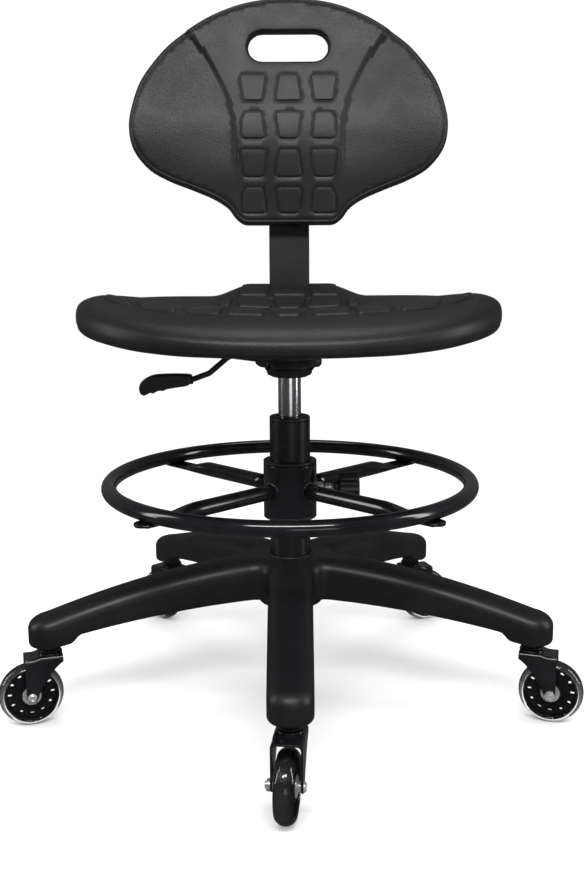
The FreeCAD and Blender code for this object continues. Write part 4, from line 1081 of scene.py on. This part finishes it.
def build_ring_tube():
    hoop = sweep(flat_loop(circle(RING_R, 256), RING_Z), circle(RING_TUBE_R, 40), closed=True)
    piece("ring_hoop", "ring", "foot_ring", [hoop], flat_kept=False)
    arms = [copy for shell in spoke_shells() for copy in around(shell, SPOKES, SPOKE_ANGLE)]
    piece("ring_arms", "ring", "ring_spokes", arms, flat_kept=False)


def build_ring_hub():
    sleeve = rect(RING_HUB_IN, RING_HUB_R, RING_HUB_LOW, RING_HUB_HIGH)
    piece("ring_sleeve", "ring", "ring_hub", [lathe(sleeve, 128, 1.0)])


def build_ring_screws():
    base = RING_Z - RING_TUBE_R - TAB_T
    button = lathe([(0, base - 3), (3.4, base - 3), (5.8, base - 1.4), (6, base), (0, base)], 40, 0.4)
    screws = around(placed(button, shift(RING_R, 0, 0)), SPOKES, SPOKE_ANGLE)
    piece("ring_bolts", "ring", "ring_screws", screws)


def build_ring_collars():
    """The plastic bushes in the ends of the hub."""
    collars = []
    for near, away in ((RING_HUB_HIGH + GAP, 1), (RING_HUB_LOW - GAP, -1)):
        flange = rect(TUBE_R + 0.1, RING_HUB_R, *sorted((near, near + 4 * away)))
        sleeve = rect(TUBE_R + 0.1, RING_HUB_IN - 0.1, near, near - 26 * away)
        collars += [lathe(flange, 128, 1.3), lathe(sleeve, 96)]
    piece("ring_collars", "ring_carrier", "ring_bushes", collars)


def build_ring_knob():
    nut = placed(slab(hexagon(14), 0, 9, 0.9), facing(X, (RING_HUB_R - 0.6, 0, KNOB_Z)))
    piece("ring_boss_nut", "ring", "ring_boss", [nut])
    thread = []
    for k in range(8):
        thread += [(3.6, 9.4 + k * 1.0), (4.0, 9.9 + k * 1.0)]
    stud = lathe([(0, -7)] + [(4, -7), (4, 9)] + thread + [(6, 17.4), (6, 21), (0, 21)], 48)
    collar = [(0, 11), (6, 11), (6, 14.2), (5.4, 14.6), (5.4, 15.2), (6, 15.6), (6, 21.5), (0, 21.5)]
    collar = lathe(collar, 48, 0.3)
    shells = set_at(facing(X, (RING_HUB_R, 0, KNOB_Z)), (stud, collar))
    piece("ring_knob_neck", "ring_lock", "ring_knob_stud", shells)
    turns = np.linspace(0, 2 * math.pi, FLUTES * 12, endpoint=False)
    plan = polar(19.5 - 1.5 * (0.5 - 0.5 * np.cos(FLUTES * turns)) ** 1.6, turns)
    wheel = stacked(plan, ((6, 0.8), (6.4, 0.9), (7.6, 0.97), (9.2, 1.0), (29, 0.985), (30.6, 0.955),
                           (31.6, 0.9), (32, 0.8), (32.1, 0.4)))
    neck = lathe([(0, 0), (9, 0), (10.5, 2), (10.5, 6.4), (0, 6.4)], 64, 0.8)
    shells = set_at(facing(X, (54, 0, KNOB_Z)), (wheel, neck))
    piece("ring_handwheel", "ring_lock", "ring_knob", shells)


# ---- casters ----
def fork_shell():
    """A folded fork: two cheeks that taper to the axle, bent down from a crown with a lower outer shelf."""
    half, bend = FORK_IN / 2 + FORK_T, 4.0
    edge = [(-14, 79), (-10, 76.5), (-5, 72), (1, 64.5), (7, 56), (12, 48.5), (15.2, 42), (17.2, 36.5),
            (18.8, 33.8), (21.2, 32), (TRAIL, 31.4), (26.8, 32), (28.6, 33.8), (29.8, 36.5), (30.4, 42)]
    rows = []
    for x, low in edge:
        top = CROWN_Z + CROWN_T - 2.4 * float(ease((x - 11) / 9))
        out = [(-half, low)]
        out += [(-half + bend * (1 - math.cos(a)), top - bend * (1 - math.sin(a)))
                for a in np.radians([0, 22, 45, 67, 90])]
        out += [(-y, z) for y, z in reversed(out[1:])] + [(half, low)]
        out = np.array(out)
        inner = np.column_stack([out[:, 0] * (1 - FORK_T / half), out[:, 1] - FORK_T])
        inner[0, 1] = inner[-1, 1] = low
        ring = np.vstack([out, inner[::-1]])
        rows.append(np.column_stack([np.full(len(ring), x), ring]))
    return loft(rows)


def fork_races():
    """The bearing seats above and below the fork's crown."""
    top = CROWN_Z + CROWN_T
    race = [(5.7, top - 0.5), (14.5, top - 0.5), (14.5, top + 1.4), (12.4, top + 2.6), (5.7, top + 2.6)]
    under = [(5.7, CROWN_Z + 1.0), (13, CROWN_Z + 1.0), (10, CROWN_Z - 1.6), (5.7, CROWN_Z - 1.6)]
    return [lathe(race, 64, 0.7), lathe(under, 64, 0.7)]


def axle_shells():
    """Head, nut, shank and the spacers outside the bearings; the wheel's axis is Z."""
    half = FORK_IN / 2 + FORK_T
    head = lathe([(0, half + 0.9), (2.5, half + 0.9), (2.6, half + 2.3), (3.7, half + 2.6), (5.2, half + 1.5),
                  (5.6, half), (0, half)], 48, 0.25)
    nut = slab(hexagon(11), -half - 4.5, -half, 0.8)
    shank = lathe(rect(0, 3.9, -half - 6, half + 0.2), 32, 0.5)
    spacer = lathe(rect(3.9, 5.6, BEARING_PLACE + BEARING_W / 2 + GAP, FORK_IN / 2), 32, 0.2)
    return [head, nut, shank, spacer, placed(spacer, Matrix.Rotation(math.pi, 4, "X"))]


def bearing_shells():
    """A pair of ball bearings with recessed shields."""
    half = BEARING_W / 2
    race = ((BEARING_BORE, 0), (6.2, 0), (6.5, -0.5), (9.2, -0.5), (9.5, 0), (BEARING_R, 0))
    bearing = lathe(both_sides([(r, half + d) for r, d in race]), 64, 0.15, 2)
    return [placed(bearing, shift(0, 0, side * BEARING_PLACE)) for side in (-1, 1)]


def core_windows():
    windows = []
    for k in range(WINDOWS):
        a = 2 * math.pi * k / WINDOWS
        turn = np.array([[math.cos(a), math.sin(a)], [-math.sin(a), math.cos(a)]])
        windows.append(even(box_loop(4.6, 4.8, 0.7, (CORE_R - 7.0, 0)) @ turn, 1.0))
    return windows


def core_shells():
    """Rim, hub, a disc with windows, and raked ribs on both of its faces."""
    rim = lathe(both_sides([(CORE_R - 3, -CORE_W / 2), (CORE_R, -CORE_W / 2 - 0.6)]), 96, 0.8)
    hub = lathe([(BEARING_R, -CORE_W / 2), (BEARING_R + 2.4, -CORE_W / 2), (BEARING_R + 3, 0),
                 (BEARING_R + 2.4, CORE_W / 2), (BEARING_R, CORE_W / 2)], 64, 0.6)
    disc = moulding(circle(CORE_R - 2.5, 96), flat_face(CORE_DISC / 2), flat_face(-CORE_DISC / 2), 0.8,
                    core_windows(), 0.6, spacing=3.0, rings=3, parting=False)
    ribs = []
    for side in (-1, 1):
        for k in range(CORE_RIBS):
            a = np.linspace(0, 0.75, 9) + 2 * math.pi * k / CORE_RIBS
            line = polar(np.linspace(BEARING_R + 2, CORE_R - 11.0, 9), side * a)
            ribs.append(sweep(flat_loop(line, side * 5.4), box_loop(1.5, 3.0, 0.4)))
    return [rim, hub, disc] + ribs


def tyre_shells():
    """A round tread; cast on the core, the tyre overlaps it a little."""
    tread = [(WHEEL_R - TREAD_R * (1 - math.cos(a)), TREAD_R * math.sin(a))
             for a in np.radians(np.linspace(-TREAD_ARC, TREAD_ARC, 23))]
    grip, side = CORE_R - 1.6, tread[-1][1] - 0.4
    return [lathe([(grip, -side)] + tread + [(grip, side)], 128)]


def caster_pieces():
    """The pieces of one caster, stem on Z and trailing along +X, each with its body, node and shells."""
    axle = shift(TRAIL, 0, WHEEL_R) @ Matrix.Rotation(math.radians(-90), 4, "X")
    return {
        "caster_fork": ("caster", "fork", [fork_shell()] + fork_races()),
        "caster_axle": ("caster", "axle", set_at(axle, axle_shells())),
        "wheel_bearings": ("wheel", "bearings", set_at(axle, bearing_shells())),
        "wheel_core": ("wheel", "core", set_at(axle, core_shells())),
        "wheel_tyre": ("wheel", "tyre", set_at(axle, tyre_shells())),
    }


def build_casters():
    pieces = caster_pieces()
    for k in range(LEGS):
        turn = about_z(FIRST_LEG + k * 360.0 / LEGS) @ shift(STEM_CIRCLE, 0, 0) @ about_z(SWIVELLED[k])
        for name, (body, node, shells) in pieces.items():
            numbered = ["%s_%d" % (word, k + 1) for word in (name, body, node)]
            bevel = 0.5 if node == "fork" else 0.0
            piece(*numbered, set_at(turn, shells), bevel, flat_kept=node != "tyre")


# ---- studio ----
def area_light(name, at, aim, size, power):
    data = bpy.data.lights.new(name, "AREA")
    data.shape = "RECTANGLE"
    data.size, data.size_y = size
    data.energy = power
    light = bpy.data.objects.new(name, data)
    light.location = at
    light.rotation_euler = (Vector(aim) - Vector(at)).to_track_quat("-Z", "Y").to_euler()
    bpy.context.scene.collection.objects.link(light)


def staging(name, shells, material):
    """Something of the studio, which isn't part of the object."""
    obj = piece(name, None, None, shells, flat_kept=False)
    obj.data.materials.append(material)
    return obj


def studio():
    """A white floor in white light. Grey flags all round, seen only in reflections, keep the blacks deep."""
    white = Shader("pale_floor", (0.96, 0.96, 0.96), 0.9)
    white.colour((0.95, 0.95, 0.95), (0.97, 0.97, 0.97), white.noise(3, 3))
    floor = staging("floor", [slab(circle(40000, 64), -40, 0, 1)], white.material)
    floor.visible_glossy = False
    grey = Shader("grey_flag", (0.1, 0.1, 0.1), 0.9)
    grey.colour((0.06, 0.06, 0.06), (0.08, 0.08, 0.08), grey.noise(2, 2))
    wall, ceiling = 2400.0, 2900.0
    flags = staging("flags", [hollow(circle(wall + 40, 64), circle(wall, 64), -60, ceiling),
                              slab(circle(wall, 64), ceiling, ceiling + 40, 1),
                              slab(circle(wall, 64), -90, -50, 1)], grey.material)
    flags.visible_camera = flags.visible_diffuse = flags.visible_transmission = flags.visible_shadow = False
    world = bpy.data.worlds.new("studio")
    bpy.context.scene.world = world
    world.use_nodes = True
    world.node_tree.nodes["Background"].inputs["Color"].default_value = (1.0, 1.0, 1.0, 1)
    world.node_tree.nodes["Background"].inputs["Strength"].default_value = 1.05
    area_light("key", (0.0, -1.35, 1.6), (0, 0.05, 0.7), (1.4, 0.3), 24)
    area_light("low", (0.35, -1.6, 0.3), (0, 0, 0.4), (0.7, 0.4), 1.2)
    area_light("rim_left", (-1.9, -0.2, 1.0), (0, 0, 0.5), (0.35, 1.6), 10)
    area_light("rim_right", (1.9, -0.4, 0.9), (0, 0, 0.5), (0.35, 1.6), 13)
    area_light("top", (0.0, 0.6, 2.4), (0, 0, 0.5), (1.0, 0.6), 8)
    bpy.context.scene.view_settings.view_transform = "Standard"


def camera():
    """The photograph's view: a little above the seat, tilted down."""
    data = bpy.data.cameras.new("camera")
    data.sensor_width = 36.0
    data.lens = LENS
    cam = bpy.data.objects.new("camera", data)
    tilt = math.radians(90 - LOOKS_DOWN)
    cam.matrix_world = shift(*CAMERA_AT) @ Matrix.Rotation(tilt, 4, "X") @ Matrix.Rotation(ROLL, 4, "Z")
    bpy.context.scene.collection.objects.link(cam)
    bpy.context.scene.camera = cam


dress_cad()
build_seat()
build_back()
build_base()
build_column()
build_cup()
build_plate()
build_channel()
build_depth_knob()
build_lever()
build_paddle()
build_bar()
build_back_bracket()
build_ring_tube()
build_ring_hub()
build_ring_screws()
build_ring_collars()
build_ring_knob()
build_casters()
studio()
camera()
